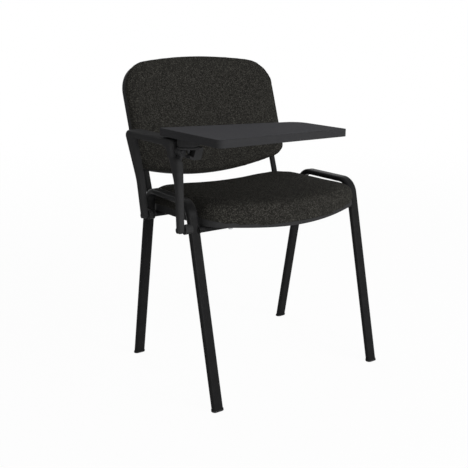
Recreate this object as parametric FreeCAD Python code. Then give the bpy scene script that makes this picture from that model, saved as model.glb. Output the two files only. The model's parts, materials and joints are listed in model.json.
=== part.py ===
import FreeCAD, Part
import math
import os

from FreeCAD import Vector

# Tablet arm chair, in millimetres. The chair faces -Y, +X is the sitter's left and z = 0 is the floor.
# Pieces are drawn about the mid-plane of the frame and moved at the end, so that the origin is the
# bottom centre of the whole chair's box.

# Side frames
FRAME_WIDTH = 539.0
TUBE_WIDE = 30.0
TUBE_DEEP = 15.0
TUBE_WALL = 1.5
RAIL_TOP = 499.5
RAIL_FRONT_Y = -94.0
RAIL_REAR_Y = 107.0
FRONT_FOOT_Y = -207.0
REAR_FOOT_Y = 207.0
FRAME_BEND = 42.0

# Foot caps
CAP_LIP = 1.2
CAP_FLOOR = 4.0
CAP_HEIGHT = 24.0

# Crossbars
BAR_WIDE = 30.0
BAR_DEEP = 15.0
BAR_WALL = 1.5
FRONT_BAR_DROP = 69.5
REAR_BAR_DROP = 76.5
FRONT_BAR_Z = RAIL_TOP - FRONT_BAR_DROP
REAR_BAR_Z = RAIL_TOP - REAR_BAR_DROP

# Seat, measured from the plane on top of the crossbars
SEAT_SIDE_GAP = 2.5
SEAT_WIDTH = FRAME_WIDTH - 2 * (TUBE_WIDE + SEAT_SIDE_GAP)
SEAT_FRONT_Y = -200.0
SEAT_REAR_Y = 183.0
SEAT_FRONT_BOW = 494.0
SEAT_REAR_BOW = 4000.0
SEAT_FRONT_CORNER = 58.0
SEAT_REAR_CORNER = 70.0
SEAT_NOSE_RADIUS = 190.0
SEAT_NOSE_ANGLE = 42.0
SEAT_NOSE_MARGIN = 4.0
SEAT_SHELL_BASE = 3.0
SEAT_SHELL_RIM = 9.0
SEAT_SHELL_SIDE_RIM = 22.0
SEAT_RIM_BEND = 60.0
SEAT_SHELL_WALL = 3.0
SEAT_SHELL_INSET = 3.0
SEAT_BOARD = 11.0
SEAT_BOARD_GAP = 1.0
SEAT_HEIGHT = 59.5
SEAT_EDGE = 16.0
SEAT_DISH_DEPTH = 10.0
SEAT_DISH_WIDTH = 420.0
SEAT_BOLT_SPACING = 300.0

# Back, measured along its lean and square to it; 0 is the front face of the back board
BACK_OVER_SEAT = 9.0
BACK_WIDTH = SEAT_WIDTH + BACK_OVER_SEAT
BACK_HEIGHT = 337.0
BACK_BEHIND_SEAT = 77.0
BACK_RISE = 157.5
BACK_CENTRE_Y = SEAT_REAR_Y + BACK_BEHIND_SEAT
BACK_CENTRE_Z = RAIL_TOP + BACK_RISE
BACK_LEAN = 18.26
BACK_CURVE = 1106.0
BACK_BOTTOM_BOW = 952.0
BACK_TOP_BOW = 900.0
BACK_BOTTOM_CORNER = 30.0
BACK_TOP_CORNER = 85.0
BACK_FOAM = 14.0
BACK_FOAM_WRAP = 6.0
BACK_FOAM_EDGE = 9.0
BACK_BOARD = 8.0
BACK_BOARD_INSET = 7.0
BACK_POCKET = 17.0
BACK_SHELL_WALL = 3.0
BACK_SHELL_INSET = 1.0
BACK_SHELL_EDGE = 6.0
BACK_SLOT_GAP = 1.0

# Back uprights
UPRIGHT_INSET = 23.0
UPRIGHT_X = SEAT_WIDTH / 2 - UPRIGHT_INSET
UPRIGHT_WIDE = 18.0
UPRIGHT_DEEP = 10.0
UPRIGHT_WALL = 1.5
UPRIGHT_BEND = 22.0
UPRIGHT_DROP = 2.5
UPRIGHT_TOP = 45.0
BACK_SCREW_LOW = -55.0
BACK_SCREW_HIGH = 25.0

# Tablet arm
ARM_SIDE_REACH = 30.5
ARM_OUTER_X = -FRAME_WIDTH / 2 - ARM_SIDE_REACH
ARM_THICK = 18.5
ARM_EDGE = 8.0
ARM_RISE = 145.0
ARM_TOP = RAIL_TOP + ARM_RISE
ARM_PAD_WIDTH = 45.0
ARM_PAD_THICK = 18.0
ARM_FRONT_Y = -83.5
ARM_REAR_Y = 162.0
ARM_CORNER = 10.0
ARM_INNER_CORNER = 40.0
ARM_REAR_CORNER = 14.0
ARM_BOLT_DROP = 65.5
ARM_BOLT_Z = RAIL_TOP - ARM_BOLT_DROP
POST_WIDTH = 17.5
FRONT_POST_KNEE_DROP = 104.5
FRONT_POST_KNEE_Z = ARM_TOP - FRONT_POST_KNEE_DROP
FRONT_POST_KNEE_SHIFT = 3.5
FRONT_POST_TOP_SHIFT = 40.0
REAR_POST_SETBACK = 33.5
REAR_POST_KNEE_DROP = 122.5
REAR_POST_Y = RAIL_REAR_Y - REAR_POST_SETBACK
REAR_POST_KNEE_Z = ARM_TOP - REAR_POST_KNEE_DROP
REAR_POST_KNEE_SHIFT = 15.5
REAR_POST_KNEE_WIDTH = 25.0
REAR_POST_TOP_SHIFT = 38.0
POST_KNEE_RADIUS = 110.0
HINGE_BLOCK_REACH = 18.0
HINGE_BLOCK_BELOW = 18.0

# Arm fixings
ARM_SPACER_D = 24.0
ARM_BRACKET_THICK = 6.0
ARM_BRACKET_BITE = 3.0
ARM_BOLT_D = 8.0
ARM_HEAD_D = 13.0
ARM_HEAD_THICK = 5.0
ARM_PLUG_THICK = 3.0
ARM_COUNTERBORE_GAP = 0.25
ARM_INSERT_D = 11.0
ARM_INSERT_LENGTH = 16.0
ARM_NUT_FLATS = 13.0
ARM_NUT_THICK = 6.5

# Tablet hinge, about a line along Y
HINGE_INSET = 20.0
HINGE_DROP = 26.5
HINGE_X = ARM_OUTER_X + HINGE_INSET
HINGE_Z = ARM_TOP - HINGE_DROP
BARREL_D = 20.0
BARREL_LENGTH = 20.0
HINGE_PIN_D = 10.0
HINGE_PIN_DEPTH = 20.0
BUSH_WALL = 2.0
HINGE_WASHER_THICK = 1.5
HINGE_WASHER_D = 14.0
HINGE_SCREW_D = 6.0
HINGE_SCREW_LENGTH = 14.0
HINGE_SCREW_HEAD_D = 10.5
HINGE_SCREW_HEAD = 2.6
LIP_WIDTH = 9.0
LIP_DROP = 17.0
HEEL_START = 4.0
HEEL_LENGTH = 8.0
HEEL_TOP_REACH = 7.0
HEEL_DEPTH = 16.0

# Tablet bracket
SWIVEL_REACH = 12.5
SWIVEL_X = HINGE_X + SWIVEL_REACH
SWIVEL_GAP = 2.2
PLATE_THICK = 4.0
PLATE_SINK = 2.5
WEB_DEPTH = 28.0
WEB_THICK = 20.0
WEB_FOOT_REACH = 17.0
WEB_TOP_REACH = 25.0
WEB_FOOT_DROP = 18.0
WEB_FOOT_X = HINGE_X + WEB_FOOT_REACH
WEB_FOOT_Z = HINGE_Z - WEB_FOOT_DROP
WEB_TOP_X = HINGE_X + WEB_TOP_REACH
WEB_FLOOR = 6.0
WEB_WASHER_GAP = 1.0

# Swivel
SWIVEL_D = 52.0
SWIVEL_EDGE = 4.0
FRICTION_WASHER_THICK = 1.0
FRICTION_WASHER_D = 44.0
SWIVEL_BOLT_D = 6.0
SWIVEL_HEAD_D = 11.0
SWIVEL_HEAD = 4.0
SWIVEL_WELL_D = 16.0
SWIVEL_WELL_FLOOR = 8.0
SPRING_WASHER_THICK = 2.0
SPRING_WASHER_D = 14.0
SWIVEL_NUT_FLATS = 10.0
SWIVEL_NUT = 6.0
SWIVEL_BOLT_TIP = 5.0

# Tablet
TABLET_RISE = 22.5
TABLET_TOP = ARM_TOP + TABLET_RISE
TABLET_THICK = 18.0
TABLET_SETBACK = 2.0
TABLET_LENGTH = 351.5
TABLET_LEFT_X = ARM_OUTER_X + TABLET_SETBACK
TABLET_RIGHT_X = TABLET_LEFT_X + TABLET_LENGTH
TABLET_FRONT_Y = -289.0
TABLET_REAR_Y = -28.0
TABLET_REAR_SLANT = 13.1
TABLET_FRONT_LEFT_CORNER = 15.0
TABLET_FRONT_RIGHT_CORNER = 4.0
TABLET_REAR_LEFT_CORNER = 4.0
TABLET_REAR_RIGHT_CORNER = 42.0
EDGE_BAND = 2.0
EDGE_BAND_ROUND = 1.4
TABLET_SCREW_CIRCLE = 34.0
TABLET_SCREW_COUNT = 4
TABLET_SCREW_D = 4.0
TABLET_SCREW_HEAD_D = 7.5
TABLET_SCREW_HEAD = 2.5
TABLET_SCREW_RECESS = 0.5
TABLET_SCREW_BITE = 12.0

# Small fasteners
SEAT_BOLT_D = 6.0
SEAT_BOLT_HEAD_D = 11.0
SEAT_BOLT_HEAD = 4.0
SEAT_WASHER_D = 16.0
SEAT_WASHER = 1.5
TEE_NUT_BARREL_D = 9.0
TEE_NUT_FLANGE_D = 20.0
TEE_NUT_FLANGE = 1.5
BACK_SCREW_D = 5.0
BACK_SCREW_HEAD_D = 9.0
BACK_SCREW_HEAD = 2.5
BACK_SCREW_BITE = 6.0

# Clearances
RUN_CLEAR = 0.05
SLIDE_CLEAR = 0.2
STOP_CLEAR = 0.3
HOLE_CLEAR = 0.25
OVERCUT = 20.0

X = Vector(1, 0, 0)
Y = Vector(0, 1, 0)
Z = Vector(0, 0, 1)
SIDES = {"right": -1, "left": 1}

# Values worked out from the sizes above
SIDE_X = (FRAME_WIDTH - TUBE_WIDE) / 2
RAIL_Z = RAIL_TOP - TUBE_DEEP / 2


def leg_y(end, z):
    """Centre of a leg at a height; end is front or rear."""
    foot, rail = {"front": (FRONT_FOOT_Y, RAIL_FRONT_Y), "rear": (REAR_FOOT_Y, RAIL_REAR_Y)}[end]
    return foot + (rail - foot) * z / RAIL_Z


FRONT_BAR_Y = leg_y("front", FRONT_BAR_Z)
REAR_BAR_Y = leg_y("rear", REAR_BAR_Z)
SEAT_TILT = math.degrees(math.atan2(FRONT_BAR_Z - REAR_BAR_Z, REAR_BAR_Y - FRONT_BAR_Y))
BAR_HALF_SPAN = math.hypot(FRONT_BAR_Z - REAR_BAR_Z, REAR_BAR_Y - FRONT_BAR_Y) / 2
SEAT_UP = Vector(0, math.sin(math.radians(SEAT_TILT)), math.cos(math.radians(SEAT_TILT)))
SEAT_ORIGIN = Vector(0, (FRONT_BAR_Y + REAR_BAR_Y) / 2, (FRONT_BAR_Z + REAR_BAR_Z) / 2) + SEAT_UP * (BAR_DEEP / 2)
ARM_INNER_X = ARM_OUTER_X + ARM_THICK
ARM_PAD_BOTTOM = ARM_TOP - ARM_PAD_THICK
FRONT_POST_Y = leg_y("front", ARM_BOLT_Z)
TABLET_BOTTOM = TABLET_TOP - TABLET_THICK
STOP_REACH = HINGE_X - SWIVEL_X + SWIVEL_D / 2
LIP_TOP = HINGE_Z - STOP_REACH - STOP_CLEAR
SWIVEL_Y = ARM_FRONT_Y - SWIVEL_GAP - SWIVEL_D / 2
BARREL_REAR_Y = ARM_FRONT_Y - HINGE_WASHER_THICK - SLIDE_CLEAR
BARREL_FRONT_Y = BARREL_REAR_Y - BARREL_LENGTH
PLATE_TOP = HINGE_Z + BARREL_D / 2 - PLATE_SINK + PLATE_THICK
SWIVEL_BOTTOM = PLATE_TOP + FRICTION_WASHER_THICK + SLIDE_CLEAR


def unit(vector):
    """Copy of a vector with length 1."""
    return Vector(vector).normalize()


def line(start, end):
    """Straight edge."""
    return Part.LineSegment(start, end).toShape()


def arc(start, through, end):
    """Circular edge through three points."""
    return Part.Arc(start, through, end).toShape()


def cylinder(diameter, start, direction, length):
    """Solid round bar."""
    return Part.makeCylinder(diameter / 2, length, start, direction)


def ring(outer, inner, start, direction, length):
    """Round bar with a round hole through it."""
    return cylinder(outer, start, direction, length).cut(cylinder(inner, start, direction, length))


def hexagon(flats, start, direction, length):
    """Hexagonal prism along X, Y or Z."""
    radius = flats / math.sqrt(3)
    first = Y if abs(direction.z) > abs(direction.y) else Z
    second = direction.cross(first)
    turns = [math.radians(60 * step) for step in range(7)]
    points = [start + first * (radius * math.cos(turn)) + second * (radius * math.sin(turn)) for turn in turns]
    return Part.Face(Part.makePolygon(points)).extrude(direction * length)


def prism(points, along):
    """Straight-edged outline pushed along a vector."""
    return Part.Face(Part.makePolygon([*points, points[0]])).extrude(along)


def filleted(shape, radius, chosen):
    """Shape with the edges that the test chooses rounded."""
    return shape.makeFillet(radius, [edge for edge in shape.Edges if chosen(edge)])


def edge_points(edge):
    """The two ends and the middle of an edge."""
    first, last = edge.ParameterRange
    return [edge.valueAt(first), edge.valueAt((first + last) / 2), edge.valueAt(last)]


def rounded_face(corners, place):
    """Face of a polygon whose corners are (across, up, radius), each rounded by a tangent arc.

    place turns the two flat coordinates into a point in space.
    """
    flat = [Vector(across, up, 0) for across, up, _ in corners]
    bends = []
    for index, (_, _, radius) in enumerate(corners):
        here = flat[index]
        before = unit(flat[index - 1] - here)
        after = unit(flat[(index + 1) % len(flat)] - here)
        half = before.getAngle(after) / 2
        reach = radius / math.tan(half)
        middle = here + unit(before + after) * (radius / math.sin(half) - radius)
        bends.append([place(spot.x, spot.y) for spot in (here + before * reach, middle, here + after * reach)])
    edges = []
    for index, (enter, middle, leave) in enumerate(bends):
        edges.append(arc(enter, middle, leave))
        edges.append(line(leave, bends[(index + 1) % len(bends)][0]))
    return Part.Face(Part.Wire(edges))


def bowed_face(half, low, high, low_bow, high_bow, low_corner, high_corner, inset, place):
    """Face with straight sides, bowed ends and rounded corners, shrunk all round by inset."""
    half -= inset

    def end(limit, bow, corner, way):
        """Tangent points and arc middles of one bowed end, as flat vectors for x > 0."""
        limit -= way * inset
        bow -= inset
        corner -= inset
        bow_centre = Vector(0, limit - way * bow, 0)
        corner_x = half - corner
        rise = math.sqrt((bow - corner) ** 2 - corner_x ** 2)
        corner_centre = Vector(corner_x, bow_centre.y + way * rise, 0)
        out = unit(corner_centre - bow_centre)
        tangent = bow_centre + out * bow
        middle = corner_centre + unit(out + X) * corner
        side = Vector(half, corner_centre.y, 0)
        return Vector(0, limit, 0), tangent, middle, side

    def at(point, flip=1):
        """Point in space, mirrored for flip = -1."""
        return place(flip * point.x, point.y)

    low_tip, low_tangent, low_middle, low_side = end(low, low_bow, low_corner, -1)
    high_tip, high_tangent, high_middle, high_side = end(high, high_bow, high_corner, 1)
    edges = [
        arc(at(low_tangent, -1), at(low_tip), at(low_tangent)),
        arc(at(low_tangent), at(low_middle), at(low_side)),
        line(at(low_side), at(high_side)),
        arc(at(high_side), at(high_middle), at(high_tangent)),
        arc(at(high_tangent), at(high_tip), at(high_tangent, -1)),
        arc(at(high_tangent, -1), at(high_middle, -1), at(high_side, -1)),
        line(at(high_side, -1), at(low_side, -1)),
        arc(at(low_side, -1), at(low_middle, -1), at(low_tangent, -1)),
    ]
    return Part.Face(Part.Wire(edges))


def oval_face(centre, wide, deep, wide_size, deep_size):
    """Flat-oval face; wide and deep are unit vectors."""
    straight = wide * ((wide_size - deep_size) / 2)
    half_deep = deep * (deep_size / 2)
    tip = wide * (wide_size / 2)
    upper_right = centre + straight + half_deep
    upper_left = centre - straight + half_deep
    lower_left = centre - straight - half_deep
    lower_right = centre + straight - half_deep
    edges = [
        line(upper_right, upper_left),
        arc(upper_left, centre - tip, lower_left),
        line(lower_left, lower_right),
        arc(lower_right, centre + tip, upper_right),
    ]
    return Part.Face(Part.Wire(edges))


def swept_oval(corners, bend, wide, wide_size, deep_size):
    """Solid oval bar along straight runs joined by tangent bends that all lie square to wide."""
    pieces = []
    start = corners[0]
    for index in range(len(corners) - 1):
        run = unit(corners[index + 1] - corners[index])
        deep = wide.cross(run)
        end = corners[index + 1]
        if index + 2 == len(corners):
            pieces.append(oval_face(start, wide, deep, wide_size, deep_size).extrude(end - start))
            break
        next_run = unit(corners[index + 2] - corners[index + 1])
        turn = run.getAngle(next_run)
        reach = bend * math.tan(turn / 2)
        end = end - run * reach
        axis = unit(run.cross(next_run))
        pieces.append(oval_face(start, wide, deep, wide_size, deep_size).extrude(end - start))
        bend_face = oval_face(end, wide, deep, wide_size, deep_size)
        pieces.append(bend_face.revolve(end + axis.cross(run) * bend, axis, math.degrees(turn)))
        start = corners[index + 1] + next_run * reach
    if len(pieces) == 1:
        return pieces[0]
    return pieces[0].fuse(pieces[1:]).removeSplitter()


# Frame

def frame_corners(side):
    """Centre line of a side frame, run a little past the floor at both feet."""
    x = SIDES[side] * SIDE_X
    below = -OVERCUT
    return [
        Vector(x, leg_y("rear", below), below),
        Vector(x, RAIL_REAR_Y, RAIL_Z),
        Vector(x, RAIL_FRONT_Y, RAIL_Z),
        Vector(x, leg_y("front", below), below),
    ]


def frame_solid(side):
    """Side frame as a filled bar, which other pieces are shaped against."""
    return swept_oval(frame_corners(side), FRAME_BEND, X, TUBE_WIDE, TUBE_DEEP)


def side_frame(side):
    """Inverted U of oval tube, cut level above the lips of its glides."""
    bore = swept_oval(frame_corners(side), FRAME_BEND, X, TUBE_WIDE - 2 * TUBE_WALL, TUBE_DEEP - 2 * TUBE_WALL)
    reach = FRAME_WIDTH
    below = Part.makeBox(2 * reach, 2 * reach, reach, Vector(-reach, -reach, CAP_FLOOR - reach))
    return frame_solid(side).cut(bore).cut(below)


def foot_cap(side, end):
    """Plastic glide under a leg: a thin lip that the tube stands on, with a level sole, and a plug in the tube."""
    x = SIDES[side] * SIDE_X
    low = Vector(x, leg_y(end, -OVERCUT), -OVERCUT)
    high = Vector(x, leg_y(end, CAP_HEIGHT), CAP_HEIGHT)
    lip = swept_oval([low, high], FRAME_BEND, X, TUBE_WIDE + 2 * CAP_LIP, TUBE_DEEP + 2 * CAP_LIP)
    wall = TUBE_WALL + SLIDE_CLEAR
    plug = swept_oval([low, high], FRAME_BEND, X, TUBE_WIDE - 2 * wall, TUBE_DEEP - 2 * wall)
    reach = FRAME_WIDTH
    below = Part.makeBox(2 * reach, 2 * reach, reach, Vector(-reach, -reach, -reach))
    above_lip = Part.makeBox(2 * reach, 2 * reach, reach, Vector(-reach, -reach, CAP_FLOOR))
    return lip.cut(above_lip).fuse(plug).cut(below).removeSplitter()


def crossbar_ends(y, z):
    """Ends of a crossbar's centre line, just past the rounded inner sides of the two frames."""
    reach = SIDE_X - (TUBE_WIDE - TUBE_DEEP) / 2
    return [Vector(-reach, y, z), Vector(reach, y, z)]


def crossbar_solid(y, z):
    """Crossbar as a filled bar between the two frames, set to the seat's tilt."""
    ends = crossbar_ends(y, z)
    return swept_oval(ends, FRAME_BEND, X.cross(SEAT_UP) * -1, BAR_WIDE, BAR_DEEP)


def crossbar(y, z):
    """Oval tube shaped to the two side frames and drilled for the seat bolts."""
    ends = crossbar_ends(y, z)
    bore = swept_oval(ends, FRAME_BEND, X.cross(SEAT_UP) * -1, BAR_WIDE - 2 * BAR_WALL, BAR_DEEP - 2 * BAR_WALL)
    bar = crossbar_solid(y, z).cut(bore)
    for side in SIDES:
        bar = bar.cut(frame_solid(side))
    for sign in (-1, 1):
        start = Vector(sign * SEAT_BOLT_SPACING / 2, y, z) - SEAT_UP * BAR_DEEP
        bar = bar.cut(cylinder(SEAT_BOLT_D + 2 * HOLE_CLEAR, start, SEAT_UP, 2 * BAR_DEEP))
    return bar


def back_point(across, square, up):
    """Point in space from the back's own coordinates."""
    lean = math.radians(BACK_LEAN)
    y = BACK_CENTRE_Y + square * math.cos(lean) + up * math.sin(lean)
    z = BACK_CENTRE_Z - square * math.sin(lean) + up * math.cos(lean)
    return Vector(across, y, z)


def curve_depth(across):
    """How far the bent back comes forward at a distance from its middle."""
    return BACK_CURVE - math.sqrt(BACK_CURVE ** 2 - across ** 2)


UPRIGHT_SQUARE = BACK_BOARD + BACK_POCKET / 2 - curve_depth(UPRIGHT_X)
BACK_NORMAL = back_point(0, 1, 0) - back_point(0, 0, 0)
BACK_UP = back_point(0, 0, 1) - back_point(0, 0, 0)


def upright_corners(side):
    """Centre line of an upright: from the rear crossbar back, then up along the back."""
    x = SIDES[side] * UPRIGHT_X
    low = REAR_BAR_Z - UPRIGHT_DROP
    foot = back_point(x, UPRIGHT_SQUARE, 0)
    foot = foot + BACK_UP * ((low - foot.z) / BACK_UP.z)
    return [Vector(x, REAR_BAR_Y, low), foot, back_point(x, UPRIGHT_SQUARE, UPRIGHT_TOP)]


def upright_solid(side, grow=0.0):
    """Upright as a filled bar, grown all round."""
    corners = upright_corners(side)
    return swept_oval(corners, UPRIGHT_BEND, X, UPRIGHT_WIDE + 2 * grow, UPRIGHT_DEEP + 2 * grow)


def back_screw_seats(side):
    """Centres of the back screws on the rear face of an upright."""
    x = SIDES[side] * UPRIGHT_X
    square = UPRIGHT_SQUARE + UPRIGHT_DEEP / 2
    return [back_point(x, square, up) for up in (BACK_SCREW_LOW, BACK_SCREW_HIGH)]


def back_screw_holes(side, diameter):
    """Bars that drill the path of an upright's two screws."""
    bars = []
    for seat in back_screw_seats(side):
        length = UPRIGHT_DEEP + BACK_POCKET + BACK_SCREW_BITE
        bars.append(cylinder(diameter, seat + BACK_NORMAL, BACK_NORMAL * -1, length + 1))
    return bars


def back_upright(side):
    """Oval tube from the rear crossbar up into the back."""
    sizes = (UPRIGHT_WIDE - 2 * UPRIGHT_WALL, UPRIGHT_DEEP - 2 * UPRIGHT_WALL)
    bore = swept_oval(upright_corners(side), UPRIGHT_BEND, X, *sizes)
    tube = upright_solid(side).cut(bore).cut(crossbar_solid(REAR_BAR_Y, REAR_BAR_Z))
    return tube.cut(back_screw_holes(side, BACK_SCREW_D + 2 * HOLE_CLEAR))


# Seat

def seated(shape):
    """Move a piece from the seat's own coordinates to its place on the crossbars."""
    placed = shape.copy()
    placed.rotate(Vector(0, 0, 0), X, -SEAT_TILT)
    placed.translate(SEAT_ORIGIN)
    return placed


SEAT_BEND_Y = -BAR_HALF_SPAN - BAR_WIDE / 2 - SEAT_NOSE_MARGIN
SEAT_EDGE_FRONT = SEAT_FRONT_Y - SEAT_ORIGIN.y
SEAT_EDGE_REAR = SEAT_REAR_Y - SEAT_ORIGIN.y


def seat_band(low, high):
    """Slab between two heights that bends down towards the front of the seat."""
    rear = SEAT_EDGE_REAR + OVERCUT
    half_width = SEAT_WIDTH / 2 + OVERCUT

    def spot(y, z):
        """Point on the end face of the slab."""
        return Vector(-half_width, y, z)

    def nose(height, share):
        """Point on the bent stretch at a height and a share of the bend."""
        turn = math.radians(SEAT_NOSE_ANGLE * share)
        radius = SEAT_NOSE_RADIUS + height
        return spot(SEAT_BEND_Y - radius * math.sin(turn), radius * math.cos(turn) - SEAT_NOSE_RADIUS)

    edges = [
        line(spot(rear, low), spot(SEAT_BEND_Y, low)),
        arc(spot(SEAT_BEND_Y, low), nose(low, 0.5), nose(low, 1)),
        line(nose(low, 1), nose(high, 1)),
        arc(nose(high, 1), nose(high, 0.5), spot(SEAT_BEND_Y, high)),
        line(spot(SEAT_BEND_Y, high), spot(rear, high)),
        line(spot(rear, high), spot(rear, low)),
    ]
    return Part.Face(Part.Wire(edges)).extrude(X * (2 * half_width))


def seat_prism(inset):
    """Seat's plan outline, shrunk by inset, as a tall prism."""
    height = 2 * SEAT_HEIGHT

    def place(across, along):
        """Point under the seat."""
        return Vector(across, along, -height)

    face = bowed_face(
        SEAT_WIDTH / 2,
        SEAT_EDGE_FRONT,
        SEAT_EDGE_REAR,
        SEAT_FRONT_BOW,
        SEAT_REAR_BOW,
        SEAT_FRONT_CORNER,
        SEAT_REAR_CORNER,
        inset,
        place,
    )
    return face.extrude(Z * (2 * height))


def seat_bolt_spots():
    """Places of the four seat bolts in the seat's own coordinates."""
    return [
        Vector(sign * SEAT_BOLT_SPACING / 2, end * BAR_HALF_SPAN, 0)
        for sign in (-1, 1)
        for end in (-1, 1)
    ]


SEAT_BOARD_TOP = SEAT_SHELL_BASE + SEAT_BOARD
SEAT_BOARD_INSET = SEAT_SHELL_INSET + SEAT_SHELL_WALL + SEAT_BOARD_GAP


def rim_room():
    """Everything below the line where the cloth meets the shell's rim, which falls towards the front."""
    reach = SEAT_BEND_Y - SEAT_EDGE_FRONT
    nose_drop = SEAT_NOSE_RADIUS - math.sqrt(SEAT_NOSE_RADIUS ** 2 - reach ** 2)
    fall = (SEAT_SHELL_SIDE_RIM - SEAT_SHELL_RIM + nose_drop) / reach
    front = SEAT_EDGE_FRONT - OVERCUT
    front_top = SEAT_SHELL_SIDE_RIM - fall * (SEAT_BEND_Y - front)
    rear = SEAT_EDGE_REAR + OVERCUT
    blunt = OVERCUT / 4
    half_width = SEAT_WIDTH / 2 + OVERCUT

    def place(along, up):
        """Point beside the seat."""
        return Vector(-half_width, along, up)

    corners = [
        (rear, -SEAT_HEIGHT, blunt),
        (rear, SEAT_SHELL_SIDE_RIM, blunt),
        (SEAT_BEND_Y, SEAT_SHELL_SIDE_RIM, SEAT_RIM_BEND),
        (front, front_top, blunt),
        (front, -SEAT_HEIGHT, blunt),
    ]
    return rounded_face(corners, place).extrude(X * (2 * half_width))


def seat_shell():
    """Moulded tray under the seat, with a rim round the board."""
    outer = seat_prism(SEAT_SHELL_INSET)
    base = seat_band(0, SEAT_SHELL_BASE).common(outer)
    wall = outer.cut(seat_prism(SEAT_SHELL_INSET + SEAT_SHELL_WALL))
    rim = seat_band(0, SEAT_SHELL_SIDE_RIM).common(wall).common(rim_room())
    tray = base.fuse(rim).removeSplitter()
    for spot in seat_bolt_spots():
        tray = tray.cut(cylinder(SEAT_BOLT_D + 2 * HOLE_CLEAR, spot - Z * OVERCUT, Z, 2 * OVERCUT))
    return seated(tray)


def seat_board():
    """Bent plywood board in the tray, bored for the tee nuts."""
    board = seat_band(SEAT_SHELL_BASE, SEAT_BOARD_TOP).common(seat_prism(SEAT_BOARD_INSET))
    for spot in seat_bolt_spots():
        board = board.cut(cylinder(TEE_NUT_BARREL_D, spot, Z, SEAT_BOARD_TOP + OVERCUT))
        flange_seat = spot + Z * (SEAT_BOARD_TOP - TEE_NUT_FLANGE)
        board = board.cut(cylinder(TEE_NUT_FLANGE_D, flange_seat, Z, OVERCUT))
    return seated(board)


def seat_cushion():
    """Padded seat: dished across, rolled down at the front and wrapped over the board's edge."""
    pad = seat_band(0, SEAT_HEIGHT).common(seat_prism(0)).cut(rim_room())
    reach = SEAT_NOSE_RADIUS + SEAT_HEIGHT

    def on_top(edge):
        """True for an edge that lies on the top surface."""
        for point in edge_points(edge):
            rise = point.z + SEAT_NOSE_RADIUS
            height = rise if point.y > SEAT_BEND_Y else math.hypot(point.y - SEAT_BEND_Y, rise)
            if abs(height - reach) > 0.01:
                return False
        middle = edge_points(edge)[1]
        return abs(middle.x) > 0.01 or middle.y > 0 or abs(middle.y - SEAT_BEND_Y) > 1

    def on_rim(edge):
        """True for a top edge on the outline, not across the pad."""
        ends = edge_points(edge)
        across = max(abs(end.y - SEAT_BEND_Y) for end in (ends[0], ends[2])) < 0.01
        return on_top(edge) and not across

    pad = filleted(pad, SEAT_EDGE, on_rim)
    half = SEAT_DISH_WIDTH / 2
    radius = (half ** 2 + SEAT_DISH_DEPTH ** 2) / (2 * SEAT_DISH_DEPTH)
    rear = SEAT_EDGE_REAR + OVERCUT
    length = SEAT_REAR_Y - SEAT_FRONT_Y + 2 * OVERCUT
    dish_start = Vector(0, rear, SEAT_HEIGHT - SEAT_DISH_DEPTH + radius)
    pad = pad.cut(cylinder(2 * radius, dish_start, Y * -1, length))
    inside = seat_prism(SEAT_BOARD_INSET)
    board_room = seat_band(0, SEAT_BOARD_TOP).common(inside)
    core = seat_band(SEAT_BOARD_TOP, SEAT_SHELL_SIDE_RIM + SEAT_BOARD_GAP).common(inside)
    return seated(pad.cut(board_room).fuse(core).removeSplitter())


def seat_tee_nuts():
    """Tee nuts let into the top of the board."""
    nuts = []
    for spot in seat_bolt_spots():
        barrel = cylinder(TEE_NUT_BARREL_D, spot + Z * SEAT_SHELL_BASE, Z, SEAT_BOARD)
        flange = cylinder(TEE_NUT_FLANGE_D, spot + Z * (SEAT_BOARD_TOP - TEE_NUT_FLANGE), Z, TEE_NUT_FLANGE)
        bore = cylinder(SEAT_BOLT_D + 2 * RUN_CLEAR, spot, Z, SEAT_BOARD_TOP + OVERCUT)
        nuts.append(barrel.fuse(flange).cut(bore).removeSplitter())
    return seated(Part.makeCompound(nuts))


def seat_bolts():
    """Bolts up through the crossbars into the tee nuts."""
    bolts = []
    under = -BAR_DEEP - SEAT_WASHER
    for spot in seat_bolt_spots():
        shank = cylinder(SEAT_BOLT_D, spot + Z * under, Z, SEAT_BOARD_TOP - under)
        head = cylinder(SEAT_BOLT_HEAD_D, spot + Z * (under - SEAT_BOLT_HEAD), Z, SEAT_BOLT_HEAD)
        head = filleted(head, SEAT_BOLT_HEAD / 2, lambda edge: edge_points(edge)[0].z < under - SEAT_BOLT_HEAD / 2)
        bolts.append(shank.fuse(head).removeSplitter())
    return seated(Part.makeCompound(bolts))


def seat_washers():
    """Washers under the seat bolts' heads."""
    under = -BAR_DEEP - SEAT_WASHER
    hole = SEAT_BOLT_D + 2 * HOLE_CLEAR
    return seated(Part.makeCompound([
        ring(SEAT_WASHER_D, hole, spot + Z * under, Z, SEAT_WASHER) for spot in seat_bolt_spots()
    ]))


# Back

def leaned(shape):
    """Move a piece from the back's own coordinates to its place."""
    placed = shape.copy()
    placed.rotate(Vector(0, 0, 0), X, -BACK_LEAN)
    placed.translate(Vector(0, BACK_CENTRE_Y, BACK_CENTRE_Z))
    return placed


def back_layer(inset, near, far):
    """Bent slab of the back's outline, shrunk by inset, between two depths."""

    def place(across, up):
        """Point in front of the back."""
        return Vector(across, -BACK_WIDTH / 2, up)

    face = bowed_face(
        BACK_WIDTH / 2,
        -BACK_HEIGHT / 2,
        BACK_HEIGHT / 2,
        BACK_BOTTOM_BOW,
        BACK_TOP_BOW,
        BACK_BOTTOM_CORNER,
        BACK_TOP_CORNER,
        inset,
        place,
    )
    start = Vector(0, -BACK_CURVE, -BACK_HEIGHT)
    bent = ring(2 * (BACK_CURVE + far), 2 * (BACK_CURVE + near), start, Z, 2 * BACK_HEIGHT)
    return face.extrude(Y * BACK_WIDTH).common(bent)


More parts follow.
